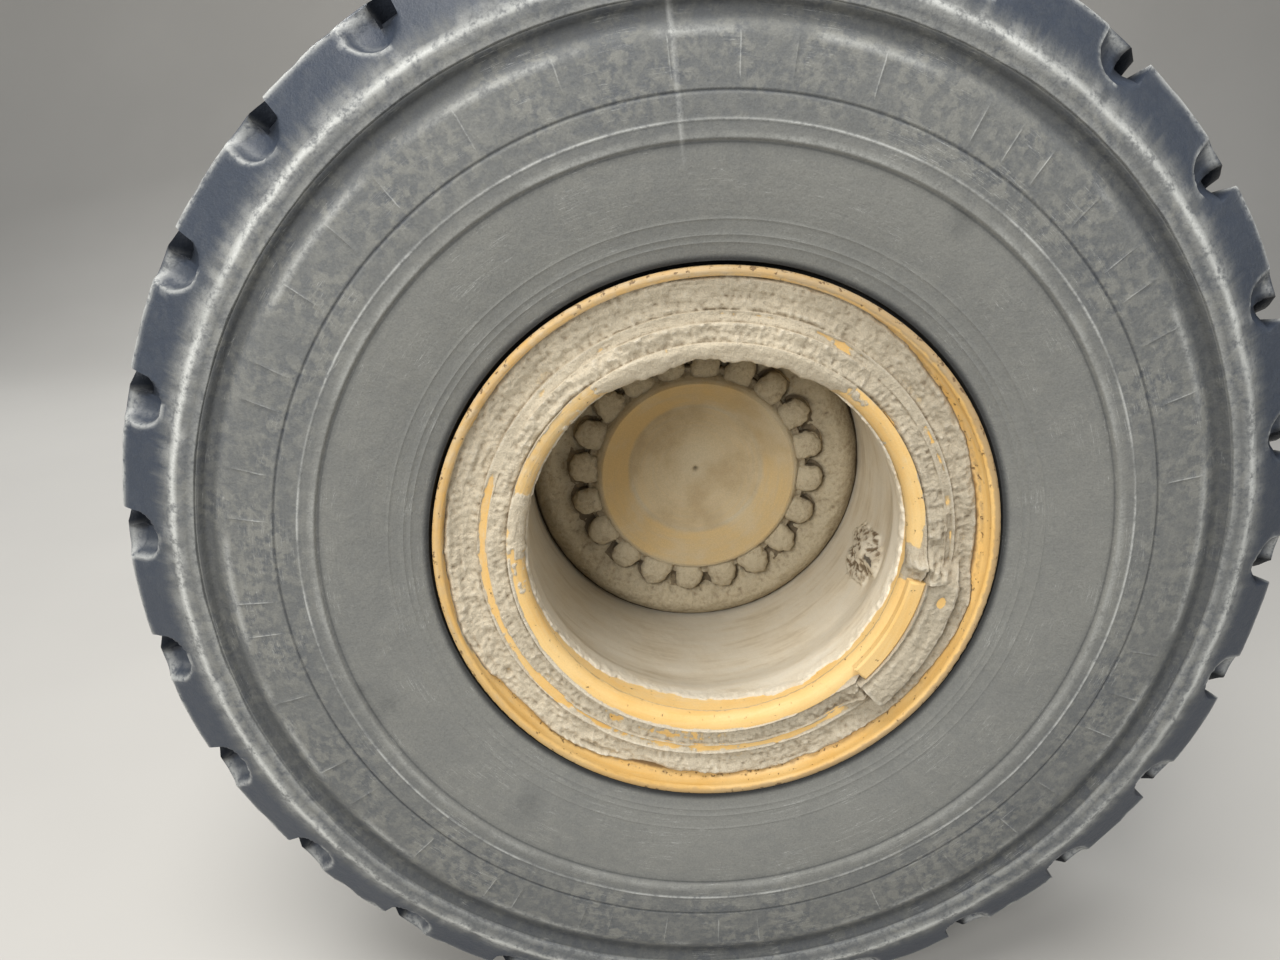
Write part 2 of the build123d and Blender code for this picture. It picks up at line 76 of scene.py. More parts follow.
VALVE_DEG = math.degrees(math.atan2(valve_middle.z, valve_middle.x))
VALVE_HALF_LENGTH = (valve_high.y - valve_low.y) / 2
# how far out the middle of the valve's foot lies, at the stem's inner end
VALVE_FOOT = -valve_high.y + 0.009
# the radius of the valve's nearest point to the axle
VALVE_RADIUS = math.hypot(valve_middle.x, valve_middle.z) - (valve_high.x - valve_low.x) / 2


def paint_colour(red, green, blue):
    """A colour as seen on a screen, from 0 to 255, as the linear values that the shaders take."""

    def linear(value):
        share = value / 255
        return share / 12.92 if share <= 0.04045 else ((share + 0.055) / 1.055) ** 2.4

    return (linear(red), linear(green), linear(blue), 1.0)


def length(name, description, default):
    return FloatProperty(name=name, description=description, default=default, unit="LENGTH", precision=4)


def colour(name, description, red, green, blue):
    return FloatVectorProperty(
        name=name,
        description=description,
        default=paint_colour(red, green, blue),
        size=4,
        min=0.0,
        max=1.0,
        subtype="COLOR",
    )


class WHEEL_END_PG_tread(PropertyGroup):
    """Sizes of the tread, its lugs and the ridge round the shoulder."""

    lug_count: IntProperty(name="Lugs", description="Lugs on each side of the tread", default=26, min=8)
    first_groove: FloatProperty(
        name="First groove",
        description="Angle of the first outboard groove",
        default=math.radians(11.6),
        subtype="ANGLE",
    )
    groove_depth: length("Groove depth", "Depth of the channel between two lugs", 0.037)
    groove_end: length("Groove end", "Where the channel ends, from the tread's middle", 0.105)
    groove_lean: length("Groove lean", "How far back round the tyre the channel moves on its way in", 0.034)
    scoop_depth: length("Scoop depth", "Depth of the rounded scoop at the shoulder", 0.023)
    scoop_radius: length("Scoop radius", "Radius of the scoop's rounded inner end", 0.037)
    crown_drop: length("Crown drop", "How much lower the shoulder is than the crown", 0.017)
    shoulder_half_width: length("Shoulder", "Half width between the shoulder edges", 0.256)
    ridge_radius: length("Ridge", "Radius of the ridge below the lugs", 0.706)
    band_radius: length("Band", "Radius where the flat band meets the ring groove", 0.682)
    band_half_width: length("Band half width", "Half width of the tyre at the band", 0.299)


class WHEEL_END_PG_wall(PropertyGroup):
    """Sizes of the sidewalls and the rings moulded on them."""

    widest_radius: length("Widest", "Radius where the tyre is widest", 0.553)
    upper_drop: length("Upper drop", "How far the wall falls back at the ring groove", 0.0075)
    lower_drop: length("Lower drop", "How far the wall falls back above the bead", 0.025)
    bead_radius: length("Bead", "Radius where the wall turns in to the flange", 0.3885)
    groove_depth: length("Ring groove", "Depth of the dark groove inside the band", 0.008)
    groove_start: length("Groove start", "Radius where the ring groove fades in", 0.644)
    step_radius: length("Step ring", "Radius of the step round the lower wall", 0.527)
    line_radius: length("Line ring", "Radius of the raised line", 0.549)
    seam_radius: length("Seam ring", "Radius of the thin dark groove", 0.580)


class WHEEL_END_PG_mud(PropertyGroup):
    """Where the dried mud lies."""

    crust: length("Crust", "Thickest crust on the rings at the top", 0.0055)
    hub_level: length("Hub level", "How far out the mud stands round the hub's cover", 0.246)
    bore_dust: length("Bore dust", "Thickness of the dust in the rim's bore", 0.004)


class WHEEL_END_PG_cover(PropertyGroup):
    """Sizes of the hub cover and its bolts."""

    bolt_count: IntProperty(name="Bolts", description="Bolts round the cover", default=20, min=4)
    bolt_phase: FloatProperty(
        name="First bolt", description="Angle of the first bolt", default=math.radians(15.3), subtype="ANGLE"
    )
    bolt_circle: length("Bolt circle", "Radius of the bolt circle", 0.188)
    lobe_radius: length("Lobe", "Radius of the lobe round each bolt", 0.023)
    valley_radius: length("Valley", "Radius of the cover between two lobes", 0.182)
    rim_radius: length("Raised rim", "Radius of the rim round the dish", 0.159)
    dish_radius: length("Dish floor", "Radius of the dish's flat floor", 0.110)
    dish_depth: length("Dish depth", "Depth of the floor below the rim", 0.042)
    bolt_size: length("Bolt head", "Size of a bolt head across its flats", 0.026)


class WHEEL_END_PG_colours(PropertyGroup):
    """Colours of rubber, paint, mud and metal."""

    rubber: colour("Rubber", "Bare rubber on the lugs", 54, 61, 73)
    dusty_rubber: colour("Dusty rubber", "Rubber under a film of dust", 122, 122, 117)
    # rubber rubbed pale, and also the colour of the painted highlights on the scoops' lips, the shoulder's
    # edge and the wall's rings
    scuffed_and_highlit_rubber: colour("Scuffed rubber", "Rubber rubbed pale on its edges", 190, 191, 187)
    paint: colour("Paint", "Yellow paint of the rim", 222, 174, 94)
    faded_paint: colour("Faded paint", "Chalky, thin paint", 230, 196, 134)
    rust: colour("Rust", "Rusty pits in the paint", 84, 58, 38)
    mud: colour("Mud", "Dry mud", 202, 190, 167)
    dusty_mud: colour("Dusty mud", "The palest mud, on its lumps", 221, 212, 193)
    # darker mud, and also the colour of the painted shade in the hollows of the mud and the dust
    dark_and_shaded_mud: colour("Shaded mud", "Darker mud in its hollows", 138, 121, 98)
    bore_dust: colour("Bore dust", "Fine dust in the rim's bore", 206, 198, 181)
    hub_dust: colour("Hub dust", "Dust on the hub", 176, 158, 126)
    pale_hub_dust: colour("Pale hub dust", "Paler dust on the hub", 194, 182, 156)
    ochre: colour("Ochre", "Hub paint showing through its dust", 206, 179, 129)
    casting: colour("Casting", "Oily dusty iron", 104, 92, 74)
    steel: colour("Steel", "Bare steel", 140, 138, 134)
    floor: colour("Floor", "Pale studio floor", 196, 193, 187)


# Shapes that close round the wheel


def smooth_step(value):
    """0 below 0, 1 above 1, and an easy curve between."""
    share = np.clip(value, 0.0, 1.0)
    return share * share * (3 - 2 * share)


def lumps(angle, across, turns, size, seed):
    """Smooth random heights from -1 to 1: so many lumps round the wheel, each of a size across it."""
    angle, across = np.broadcast_arrays(angle, across)
    round_cell = (angle / TAU % 1.0) * turns
    across_cell = across / size
    low = int(np.floor(across_cell.min()))
    rows = int(np.floor(across_cell.max())) - low + 2
    lattice = np.random.default_rng(seed).uniform(-1, 1, (rows, turns))
    column = np.floor(round_cell).astype(int)
    row = np.floor(across_cell).astype(int) - low
    part = smooth_step(round_cell - column)
    rise = smooth_step(across_cell - low - row)
    column, beside = column % turns, (column + 1) % turns
    below = lattice[row, column] * (1 - part) + lattice[row, beside] * part
    above = lattice[row + 1, column] * (1 - part) + lattice[row + 1, beside] * part
    return below * (1 - rise) + above * rise


def layers(angle, across, turns, size, seed, octaves=3):
    """Lumps upon lumps, each layer half the size and half the height of the one before."""
    total = 0.0
    for octave in range(octaves):
        scale = 2**octave
        total = total + lumps(angle, across, turns * scale, size / scale, seed + octave) / scale
    return total


def even_angles(count):
    return np.linspace(0, TAU, count, endpoint=False)


def around(angle, *stops):
    """A value that changes smoothly round the wheel, from stops of (degrees, value) in rising order."""
    places = np.array([stops[-1][0] - 360] + [stop[0] for stop in stops] + [stops[0][0] + 360])
    values = np.array([stops[-1][1]] + [stop[1] for stop in stops] + [stops[0][1]])
    degrees = (np.degrees(angle) - stops[0][0]) % 360 + stops[0][0]
    step = np.clip(np.searchsorted(places, degrees, side="right") - 1, 0, len(places) - 2)
    share = smooth_step((degrees - places[step]) / (places[step + 1] - places[step]))
    return values[step] * (1 - share) + values[step + 1] * share


def turn_between(angle, middle_deg):
    """The signed turn from an angle in degrees to each angle of a grid, in radians."""
    gap = angle - math.radians(middle_deg)
    return np.arctan2(np.sin(gap), np.cos(gap))


def hollows(height, reach, depth):
    """How far each point of a grid lies below what is round it, as a share of a depth."""
    level = sum(np.roll(height, step, axis=1) for step in range(-reach, reach + 1)) / (2 * reach + 1)
    padded = np.pad(level, ((2, 2), (0, 0)), mode="edge")
    level = (padded[:-4] + padded[1:-3] + padded[2:-2] + padded[3:-1] + padded[4:]) / 5
    return np.clip((level - height) / depth, -1.0, 1.0)


def bell(value):
    """1 where the value is 0, falling off softly on both sides."""
    return np.exp(-(value**2))


def add_rows(grid, rows):
    """A grid of values with plain rows after it, each with one value all round."""
    return np.concatenate([grid, np.reshape(rows, (-1, 1)) * np.ones((1, grid.shape[1]))])


def ride_wheel(name, mesh, finish, fold):
    """The finished piece of a mesh, on the wheel: smooth, but for folds sharper than an angle in degrees."""
    mesh.shade_smooth()
    mesh.set_sharp_from_angle(angle=math.radians(fold))
    mesh.materials.append(finish)
    piece = bpy.data.objects.new(name, mesh)
    bpy.context.scene.collection.objects.link(piece)
    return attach(piece, "wheel")


def lay_grid(name, radius, angle, out, finish, fold=38.0, back=(), **marks):
    """A closed piece of the wheel from a grid: rows go round its section and columns round the wheel.

    The back closes the section out of sight, by rows of (radius, distance out). Marks are values from 0 to 1
    that the finish reads at each point, such as its wear and painted highlights or the painted shade in its
    hollows, and 0 on the back.
    """
    radius, angle, out, *values = np.broadcast_arrays(radius, angle, out, *marks.values())
    if back:
        back = np.array(back)
        angle = np.concatenate([angle, np.repeat(angle[-1:], len(back), axis=0)])
        radius, out = add_rows(radius, back[:, 0]), add_rows(out, back[:, 1])
        values = [add_rows(value, 0 * back[:, 0]) for value in values]
    flat = np.stack([radius * np.cos(angle), -out, radius * np.sin(angle)], axis=-1).reshape(-1, 3)
    index = np.arange(radius.size).reshape(radius.shape)
    after, beside = np.roll(index, -1, axis=0), np.roll(index, -1, axis=1)
    corner = np.roll(after, -1, axis=1)
    faces = np.stack([index, after, corner, beside], axis=-1).reshape(-1, 4)
    a, b, c, d = (flat[faces[:, k]] for k in range(4))
    volume = np.einsum("ij,ij->i", a, np.cross(b, c)) + np.einsum("ij,ij->i", a, np.cross(c, d))
    if volume.sum() < 0:
        faces = faces[:, ::-1]
    mesh = bpy.data.meshes.new(name)
    mesh.from_pydata(flat.tolist(), [], faces.tolist())
    for mark, value in zip(marks, values):
        layer = mesh.attributes.new(mark, "FLOAT", "POINT")
        layer.data.foreach_set("value", value.astype(np.float32).ravel())
    shape = bmesh.new()
    shape.from_mesh(mesh)
    bmesh.ops.remove_doubles(shape, verts=shape.verts, dist=1e-6)
    shape.to_mesh(mesh)
    shape.free()
    return ride_wheel(name, mesh, finish, fold)


def rounded_outline(corners):
    """Rows along a line of corners, each (half width, radius, rounding, spacing of the rows up to it)."""
    points = [np.array(corner[:2]) for corner in corners]
    rows = [points[0]]
    for here in range(1, len(corners)):
        rounding, spacing = corners[here][2:]
        start, end = rows[-1], points[here]
        rounded = rounding > 0 and here < len(corners) - 1
        first, last = end, end
        if rounded:
            back, ahead = start - end, points[here + 1] - end
            first = end + back / np.linalg.norm(back) * rounding
            last = end + ahead / np.linalg.norm(ahead) * rounding
        count = max(1, round(np.linalg.norm(first - start) / spacing))
        rows += [start + (first - start) * k / count for k in range(1, count + 1)]
        if rounded:
            for share in (0.25, 0.5, 0.75, 1.0):
                rows.append(first * (1 - share) ** 2 + 2 * end * share * (1 - share) + last * share**2)
    return np.array(rows)


# Finishes


class Value:
    """A number or colour that a shader works out at each point. Sums and products add the nodes they need."""

    def __init__(self, finish, socket):
        self.finish = finish
        self.socket = socket

    def __add__(self, other):
        return self.finish.sum_of("ADD", self, other)

    def __sub__(self, other):
        return self.finish.sum_of("SUBTRACT", self, other)

    def __rsub__(self, other):
        return self.finish.sum_of("SUBTRACT", other, self)

    def __mul__(self, other):
        return self.finish.sum_of("MULTIPLY", self, other)

    def __abs__(self):
        return self.finish.sum_of("ABSOLUTE", self)

    __radd__ = __add__
    __rmul__ = __mul__

    def rise(self, low, high, to_low=0.0, to_high=1.0):
        """An easy step from one value to another as this one goes from low to high."""
        node = self.finish.add("ShaderNodeMapRange", interpolation_type="SMOOTHSTEP")
        inputs = {"Value": self, "From Min": low, "From Max": high, "To Min": to_low, "To Max": to_high}
        for name, value in inputs.items():
            self.finish.feed(node.inputs[name], value)
        return Value(self.finish, node.outputs["Result"])

    def wobble(self, amount):
        """A texture's swing about its middle, as a number to add."""
        return (self - 0.5) * (2 * amount)


class Finish:
    """A material being made: it adds nodes and joins them, in the wheel's own coordinates."""

    def __init__(self, name):
        self.material = bpy.data.materials.new(name)
        self.material.use_nodes = True
        self.tree = self.material.node_tree
        self.shader = self.tree.nodes["Principled BSDF"]
        place = self.add("ShaderNodeGroup", node_tree=wheel_place())
        self.point, self.radius, self.angle, self.out, self.ray, self.facing_up = (
            Value(self, place.outputs[name]) for name, _ in PLACE_OUTPUTS
        )

    def add(self, kind, **values):
        node = self.tree.nodes.new(kind)
        for key, value in values.items():
            setattr(node, key, value)
        return node

    def feed(self, socket, value):
        if isinstance(value, Value):
            self.tree.links.new(value.socket, socket)
        elif socket.type == "VECTOR":
            socket.default_value = value[:3]
        else:
            socket.default_value = value

    def sum_of(self, operation, first, second=0.0, clamp=False):
        node = self.add("ShaderNodeMath", operation=operation, use_clamp=clamp)
        self.feed(node.inputs[0], first)
        self.feed(node.inputs[1], second)
        return Value(self, node.outputs[0])

    def either(self, first, second):
        return self.sum_of("MAXIMUM", first, second)

    def sector(self, towards_deg, sharpness=1.0):
        """1 on the side of the wheel that the angle points to, 0 on the side away from it."""
        swing = self.sum_of("COSINE", self.angle - math.radians(towards_deg))
        return self.sum_of("POWER", swing * 0.5 + 0.5, sharpness)

    def mark(self, name):
        """A value that a piece carries in its mesh, 0 on a piece that carries none."""
        return Value(self, self.add("ShaderNodeAttribute", attribute_name=name).outputs["Fac"])

    def speckle(self, scale, detail=4.0, roughness=0.6, where=None):
        node = self.add("ShaderNodeTexNoise")
        self.feed(node.inputs["Vector"], where or self.point)
        node.inputs["Scale"].default_value = scale
        node.inputs["Detail"].default_value = detail
        node.inputs["Roughness"].default_value = roughness
        return Value(self, node.outputs["Fac"])

    def drawn_out(self, round_scale, radius_scale, out_scale=0.0):
        """Coordinates that stretch a texture round the wheel or along its radius."""
        across = self.radius * radius_scale
        shift = self.add("ShaderNodeCombineXYZ")
        self.feed(shift.inputs["X"], across)
        self.feed(shift.inputs["Y"], across + self.out * out_scale)
        self.feed(shift.inputs["Z"], self.radius * (radius_scale * 0.5))
        total = self.add("ShaderNodeVectorMath", operation="ADD")
        self.feed(total.inputs[0], self.shade(self.ray, round_scale))
        self.feed(total.inputs[1], Value(self, shift.outputs[0]))
        return Value(self, total.outputs[0])

    def blend(self, factor, first, second):
        node = self.add("ShaderNodeMix", data_type="RGBA")
        self.feed(node.inputs["Factor"], factor)
        self.feed(node.inputs[6], first)
        self.feed(node.inputs[7], second)
        return Value(self, node.outputs[2])

    def shade(self, tint, amount):
        """The tint made lighter or darker: an amount of 1 leaves it as it is."""
        node = self.add("ShaderNodeVectorMath", operation="SCALE")
        self.feed(node.inputs[0], tint)
        self.feed(node.inputs["Scale"], amount)
        return Value(self, node.outputs[0])

    def done(self, tint, roughness, height=None, bump_distance=0.001, metallic=0.0, specular=0.4):
        self.feed(self.shader.inputs["Base Color"], tint)
        self.feed(self.shader.inputs["Roughness"], roughness)
        self.feed(self.shader.inputs["Metallic"], metallic)
        self.shader.inputs["Specular IOR Level"].default_value = specular
        if height is not None:
            bump = self.add("ShaderNodeBump")
            bump.inputs["Strength"].default_value = 1.0
            bump.inputs["Distance"].default_value = bump_distance
            self.feed(bump.inputs["Height"], height)
            self.tree.links.new(bump.outputs["Normal"], self.shader.inputs["Normal"])
        return self.material


PLACE_OUTPUTS = (
    ("Point", "NodeSocketVector"),
    ("Radius", "NodeSocketFloat"),
    ("Angle", "NodeSocketFloat"),
    ("Out", "NodeSocketFloat"),
    ("Ray", "NodeSocketVector"),
    ("Facing up", "NodeSocketFloat"),
)


def wheel_place():
    """The node group that gives a point's radius, angle and distance out, from its own place."""
    known = bpy.data.node_groups.get("Wheel place")
    if known:
        return known
    group = bpy.data.node_groups.new("Wheel place", "ShaderNodeTree")
    for name, kind in PLACE_OUTPUTS:
        group.interface.new_socket(name, in_out="OUTPUT", socket_type=kind)

    def node(kind, operation, *sockets):
        """The outputs of a new node, whose inputs the sockets feed in order."""
        new = group.nodes.new(kind)
        if operation:
            new.operation = operation
        for place, socket in zip(new.inputs, sockets):
            if socket:
                group.links.new(socket, place)
        return new.outputs

    source = group.nodes.new("ShaderNodeTexCoord").outputs
    parts = node("ShaderNodeSeparateXYZ", None, source["Object"])
    flat = node("ShaderNodeCombineXYZ", None, parts["X"], None, parts["Z"])
    away = node("ShaderNodeMath", "MULTIPLY", parts["Y"])
    away[0].node.inputs[1].default_value = -1.0
    results = {
        "Point": source["Object"],
        "Radius": node("ShaderNodeVectorMath", "LENGTH", flat[0])["Value"],
        "Angle": node("ShaderNodeMath", "ARCTAN2", parts["Z"], parts["X"])[0],
        "Out": away[0],
        "Ray": node("ShaderNodeVectorMath", "NORMALIZE", flat[0])[0],
        "Facing up": node("ShaderNodeSeparateXYZ", None, source["Normal"])["Z"],
    }
    end = group.nodes.new("NodeGroupOutput")
    for name, socket in results.items():
        group.links.new(socket, end.inputs[name])
    return group


def kept(make):
    """A finish is made once, under its function's name, and found by that name from then on."""

    def find(*settings):
        return bpy.data.materials.get(make.__name__) or make(Finish(make.__name__), *settings)

    return find


@kept
def worn_rubber(rubber, colours, tread, wall):
    """Blue-black rubber: grey with dust on the walls, pale where it is rubbed, with painted highlights on
    some edges and painted shade in its grooves and hollows.
    """
    radius = rubber.radius
    clouds = rubber.speckle(4.0, 3.0, 0.5)
    patches = rubber.speckle(17.0)
    mottle = rubber.speckle(62.0)
    fine = rubber.speckle(190.0, 3.0)
    grain = rubber.speckle(430.0, 2.0)
    brushed = rubber.speckle(1.0, where=rubber.drawn_out(3.0, 110.0))
    radial = rubber.speckle(1.0, 3.0, where=rubber.drawn_out(75.0, 5.0))
    hollow = rubber.mark("hollow")
    # wear on the rubber, and also painted highlights on the scoops' lips, the shoulder's edge and the wall's
    # rings
    worn = rubber.mark("worn")

    # the film of dust: thick on the walls, thin on the lugs' faces and in the ring groove
    off_groove = 1 - radius.rise(wall.groove_start + 0.002, wall.groove_start + 0.018) * 0.30
    lower = radius.rise(wall.step_radius, wall.line_radius, 0.88, 0.70)
    on_tread = radius.rise(tread.band_radius - 0.001, tread.band_radius + 0.001)
    on_wall = 1 - on_tread
    off_step = radius.rise(tread.band_radius - 0.0022, tread.band_radius - 0.0008, 1.0, 0.0)
    spread = radius + (mottle.wobble(0.016) + radial.wobble(0.020))
    shoulder = spread.rise(tread.ridge_radius + 0.002, tread.ridge_radius + 0.038, 0.56, 0.0)
    off_lug = radius.rise(tread.ridge_radius + 0.008, tread.ridge_radius + 0.034, 1.0, 0.16)
    # the crown's pale film: dust, made paler to paint the sky's reflection on it
    crown = radius.rise(CROWN_RADIUS - 0.016, CROWN_RADIUS - 0.006, 0.0, 0.72)
    film = off_groove * lower * on_wall + on_tread * shoulder + crown + 0.07
    blotch = mottle.rise(0.42, 0.60, -0.5, 0.5) + fine.wobble(0.55)
    upper = radius.rise(wall.step_radius, wall.seam_radius, 0.10, 0.52) * (off_groove * 0.80 + 0.10)
    blotch = blotch * (upper * patches.rise(0.32, 0.68, 0.25, 1.2))
    swings = blotch + clouds.wobble(0.22) + patches.wobble(0.15) + fine.wobble(0.10)
    swings = swings + brushed.wobble(0.10) + radial.wobble(0.05)
    # the film's random swings, and a little more film on the step face at the band's foot: a painted
    # lightening of the dark crease there
    film = film + swings * off_lug + (1 - off_step) * (on_wall * 0.15)
    # less dust film in the hollows: partly bare rubber there, and partly painted shade
    film = rubber.sum_of("ADD", film, hollow * -0.45, clamp=True)

    breaks = mottle + fine.wobble(0.55) + patches.wobble(0.25)
    # pale marks: wear, hairline scratches, and the painted highlights that the wear mark also carries
    scuffs_and_highlights = worn * breaks.rise(0.18, 0.58, 0.25, 1.0)
    hairline = abs(brushed - 0.5).rise(0.0, 0.007, 0.48, 0.0) * patches.rise(0.48, 0.62)
    scuffs_and_highlights = rubber.either(scuffs_and_highlights, hairline * (off_groove * on_wall))

    tint = rubber.blend(film, colours.rubber, colours.dusty_rubber)
    # painted shade in the ring groove, darkest by the band's step, but kept off the step's face
    groove_shade = radius.rise(wall.groove_start + 0.006, wall.groove_start + 0.017, 0.0, 0.36)
    tint = rubber.shade(tint, 1 - groove_shade * off_step * on_wall)
    tint = rubber.blend(scuffs_and_highlights, tint, colours.scuffed_and_highlit_rubber)
    tint = rubber.shade(tint, grain.rise(0.2, 0.8, 0.90, 1.10))
    # painted shade in the hollows: the tread's channels and scoops, the wall's seam, the foot of its step and
    # the gap by the flange; the same mark also carries the wall's real dark smudges
    tint = rubber.shade(tint, hollow.rise(0.0, 1.0, 1.0, 0.30))
    height = grain * 0.30 + fine * 0.5 + mottle * 0.75 + patches * 0.6
    return rubber.done(tint, film.rise(0.0, 0.8, 0.50, 0.86), height, 0.0013, specular=0.35)


@kept
def chipped_paint(paint, colours):
    """Yellow rim paint with a chalky bloom, a film of dust, and rusty pits along the flange's edge."""
    radius = paint.radius
    patches = paint.speckle(11.0)
    mottle = paint.speckle(70.0)
    grain = paint.speckle(480.0, 2.0)
    swept = paint.speckle(1.0, 3.0, 0.55, paint.drawn_out(5.0, 150.0, 110.0))
    pitting = paint.speckle(125.0, 3.0, 0.65)

    on_lip = radius.rise(0.292, 0.300, 0.22, 0.0)
    bloom = patches.wobble(0.5) + swept.wobble(0.30) + 0.40 + on_lip
    tint = paint.blend(bloom.rise(0.0, 0.9), colours.paint, colours.faded_paint)

    # dust lies thickest towards the top of the rim and thinnest at the bottom and on the right
    shelter = paint.sector(118.0, 1.3) * 0.42
    inside = paint.out.rise(RIM_FRONT - 0.050, RIM_FRONT - 0.018, 0.24, 0.0)
    curl = radius.rise(FLANGE_RADIUS - 0.034, FLANGE_RADIUS - 0.012, 0.32, 0.0)
    flange = radius.rise(0.328, 0.332)
    cover = shelter + inside + curl * flange + swept.wobble(0.34) + mottle.wobble(0.30)
    dust = cover.rise(0.12, 0.80)
    mud = paint.blend(mottle.rise(0.3, 0.65), colours.dark_and_shaded_mud, colours.mud)
    tint = paint.blend(dust * 0.84, tint, mud)

    # rusty pits, most of them on the flange's edge and round the foot of its curl
    foot_radius = 0.3625
    lip = radius.rise(FLANGE_RADIUS - 0.0065, FLANGE_RADIUS - 0.0025)
    foot = abs(radius + mottle.wobble(0.006) - foot_radius).rise(0.0, 0.0035, 1.0, 0.0)
    pits = (pitting + (lip * 0.085 + foot * 0.10 + patches.wobble(0.05))).rise(0.655, 0.715)
    # the flange's outermost edge is rubbed to a dull tan, most of all on the right
    tip = (radius + mottle.wobble(0.003)).rise(FLANGE_RADIUS - 0.0112, FLANGE_RADIUS - 0.0078)
    tip = tip * (paint.sector(0.0) + patches.wobble(0.2)).rise(0.10, 0.80, 0.28, 0.66)
    tint = paint.blend(tip, tint, colours.dark_and_shaded_mud)
    stain = foot * (patches + mottle.wobble(0.3)).rise(0.44, 0.62)
    tint = paint.blend(stain * 0.42, tint, colours.rust)
    # brown rust and painted shadow where mud has broken off the flange's foot, on the right and at the lower
    # left
    rust_and_brink_shadow = (radius + (mottle.wobble(0.004) + patches.wobble(0.004))).rise(0.3560, 0.3605, 1.0, 0.0)
    rust_and_brink_shadow = rust_and_brink_shadow * flange * paint.either(paint.sector(8.0, 12.0), paint.sector(246.0, 14.0))
    tint = paint.blend(rust_and_brink_shadow * 0.80, tint, colours.rust)
    tint = paint.blend(pits * 0.72, tint, colours.rust)
    # painted shade: the flange is darkened towards the bottom of the wheel
    flange_bottom_shade = paint.sector(-95.0).rise(0.55, 0.98, 1.03, 0.86)
    tint = paint.shade(tint, flange * (flange_bottom_shade - 1) + 1)
    tint = paint.shade(tint, grain.rise(0.2, 0.8, 0.95, 1.04))
    roughness = dust.rise(0.0, 1.0, 0.50, 0.92) + mottle.wobble(0.10)
    height = dust * (mottle + 0.25) + grain * 0.08 + pits * -0.8
    return paint.done(tint, roughness, height, 0.0009, specular=0.4)


@kept
def dried_mud(mud, colours):
    """Pale dry mud: soft lumps and crumbs, with painted shade in its hollows and paint showing where it is
    thin.
    """
    patches = mud.speckle(13.0, 4.0, 0.55)
    lumpy = mud.speckle(75.0)
    crumbs = mud.speckle(190.0, 4.0, 0.65)
    grit = mud.speckle(560.0, 2.0)
    strata = mud.speckle(1.0, 3.0, 0.5, mud.drawn_out(5.0, 95.0, 70.0))
    hollow = mud.mark("hollow")
    thin = mud.mark("thin")

    # painted light and shade from the mud's relief, mixed with its crumbs, lumps and strata: its hollows
    # darker, its lumps paler
    depth = hollow * 0.42 + crumbs.wobble(-0.42) + lumpy.wobble(-0.26) + strata.wobble(-0.24)
    tint = mud.blend(depth.rise(-0.05, 0.80), colours.mud, colours.dark_and_shaded_mud)
    tint = mud.blend(depth.rise(-0.10, -0.55, 0.0, 0.65), tint, colours.dusty_mud)
    stain = thin + lumpy.wobble(0.5)
    tint = mud.blend(stain.rise(0.45, 1.1, 0.0, 0.6), tint, colours.faded_paint)
    tint = mud.shade(tint, patches.rise(0.3, 0.7, 0.93, 1.05))
    # darker along its brink, where it has broken off the paint: a stain with painted shadow under it; and
    # painted shade on the right
    brink = mud.mark("brink") + lumpy.wobble(0.35)
    tint = mud.shade(tint, brink.rise(0.25, 0.95, 1.0, 0.52))
    tint = mud.shade(tint, mud.sector(-15.0).rise(0.40, 0.98, 1.02, 0.83))
    tint = mud.shade(tint, grit.rise(0.25, 0.75, 0.86, 1.08))
    height = crumbs * 0.9 + lumpy * 0.8 + grit * 0.50 + strata * 0.6
    return mud.done(tint, 0.95, height, 0.0026, specular=0.12)


@kept
def swept_dust(dust, colours):
    """Fine pale dust blown smooth round the rim's bore, with faint streaks, scabs and a flaky mouth."""
    patches = dust.speckle(9.0, 4.0, 0.55)
    streaks = dust.speckle(1.0, 4.0, 0.55, dust.drawn_out(3.0, 20.0, 75.0))
    crumbs = dust.speckle(170.0)
    grit = dust.speckle(620.0, 2.0)
    thick = dust.mark("thick")
    hollow = dust.mark("hollow")
    pale = dust.mark("pale")

    rough = (thick + patches.wobble(0.3)).rise(0.35, 0.75)
    swept = (patches + streaks.wobble(0.35)).rise(0.25, 0.75)
    tint = dust.blend(swept, colours.bore_dust, colours.mud)
    # painted shade in the hollows of the rough, thick dust, mixed with its crumbs
    pits = hollow * 0.7 + crumbs.wobble(-0.8) + thick * 0.25
    tint = dust.blend(pits.rise(-0.15, 0.65) * rough, tint, colours.dark_and_shaded_mud)
    dirty = (streaks + patches.wobble(0.45)).rise(0.48, 0.82, 0.0, 0.26)
    tint = dust.blend(dirty * (1 - pale), tint, colours.dark_and_shaded_mud)
    # painted shade in the hollows of the clump
    tint = dust.shade(tint, (hollow * thick).rise(0.05, 0.70, 0.94, 0.66))
    flaky = (pale + crumbs.wobble(0.6)).rise(0.28, 0.75)
    tint = dust.blend(flaky * 0.75, tint, colours.dusty_mud)
    # painted light: the dust is made paler on the right of the bore
    tint = dust.shade(tint, dust.sector(-5.0).rise(0.45, 0.98, 1.0, 1.30))
    tint = dust.shade(tint, grit.rise(0.25, 0.75, 0.94, 1.04))
    height = (crumbs + grit * 0.3) * (rough + pale * 0.9 + 0.18) + streaks * 0.16 + grit * 0.06
    return dust.done(tint, 0.94, height, 0.0024, specular=0.15)


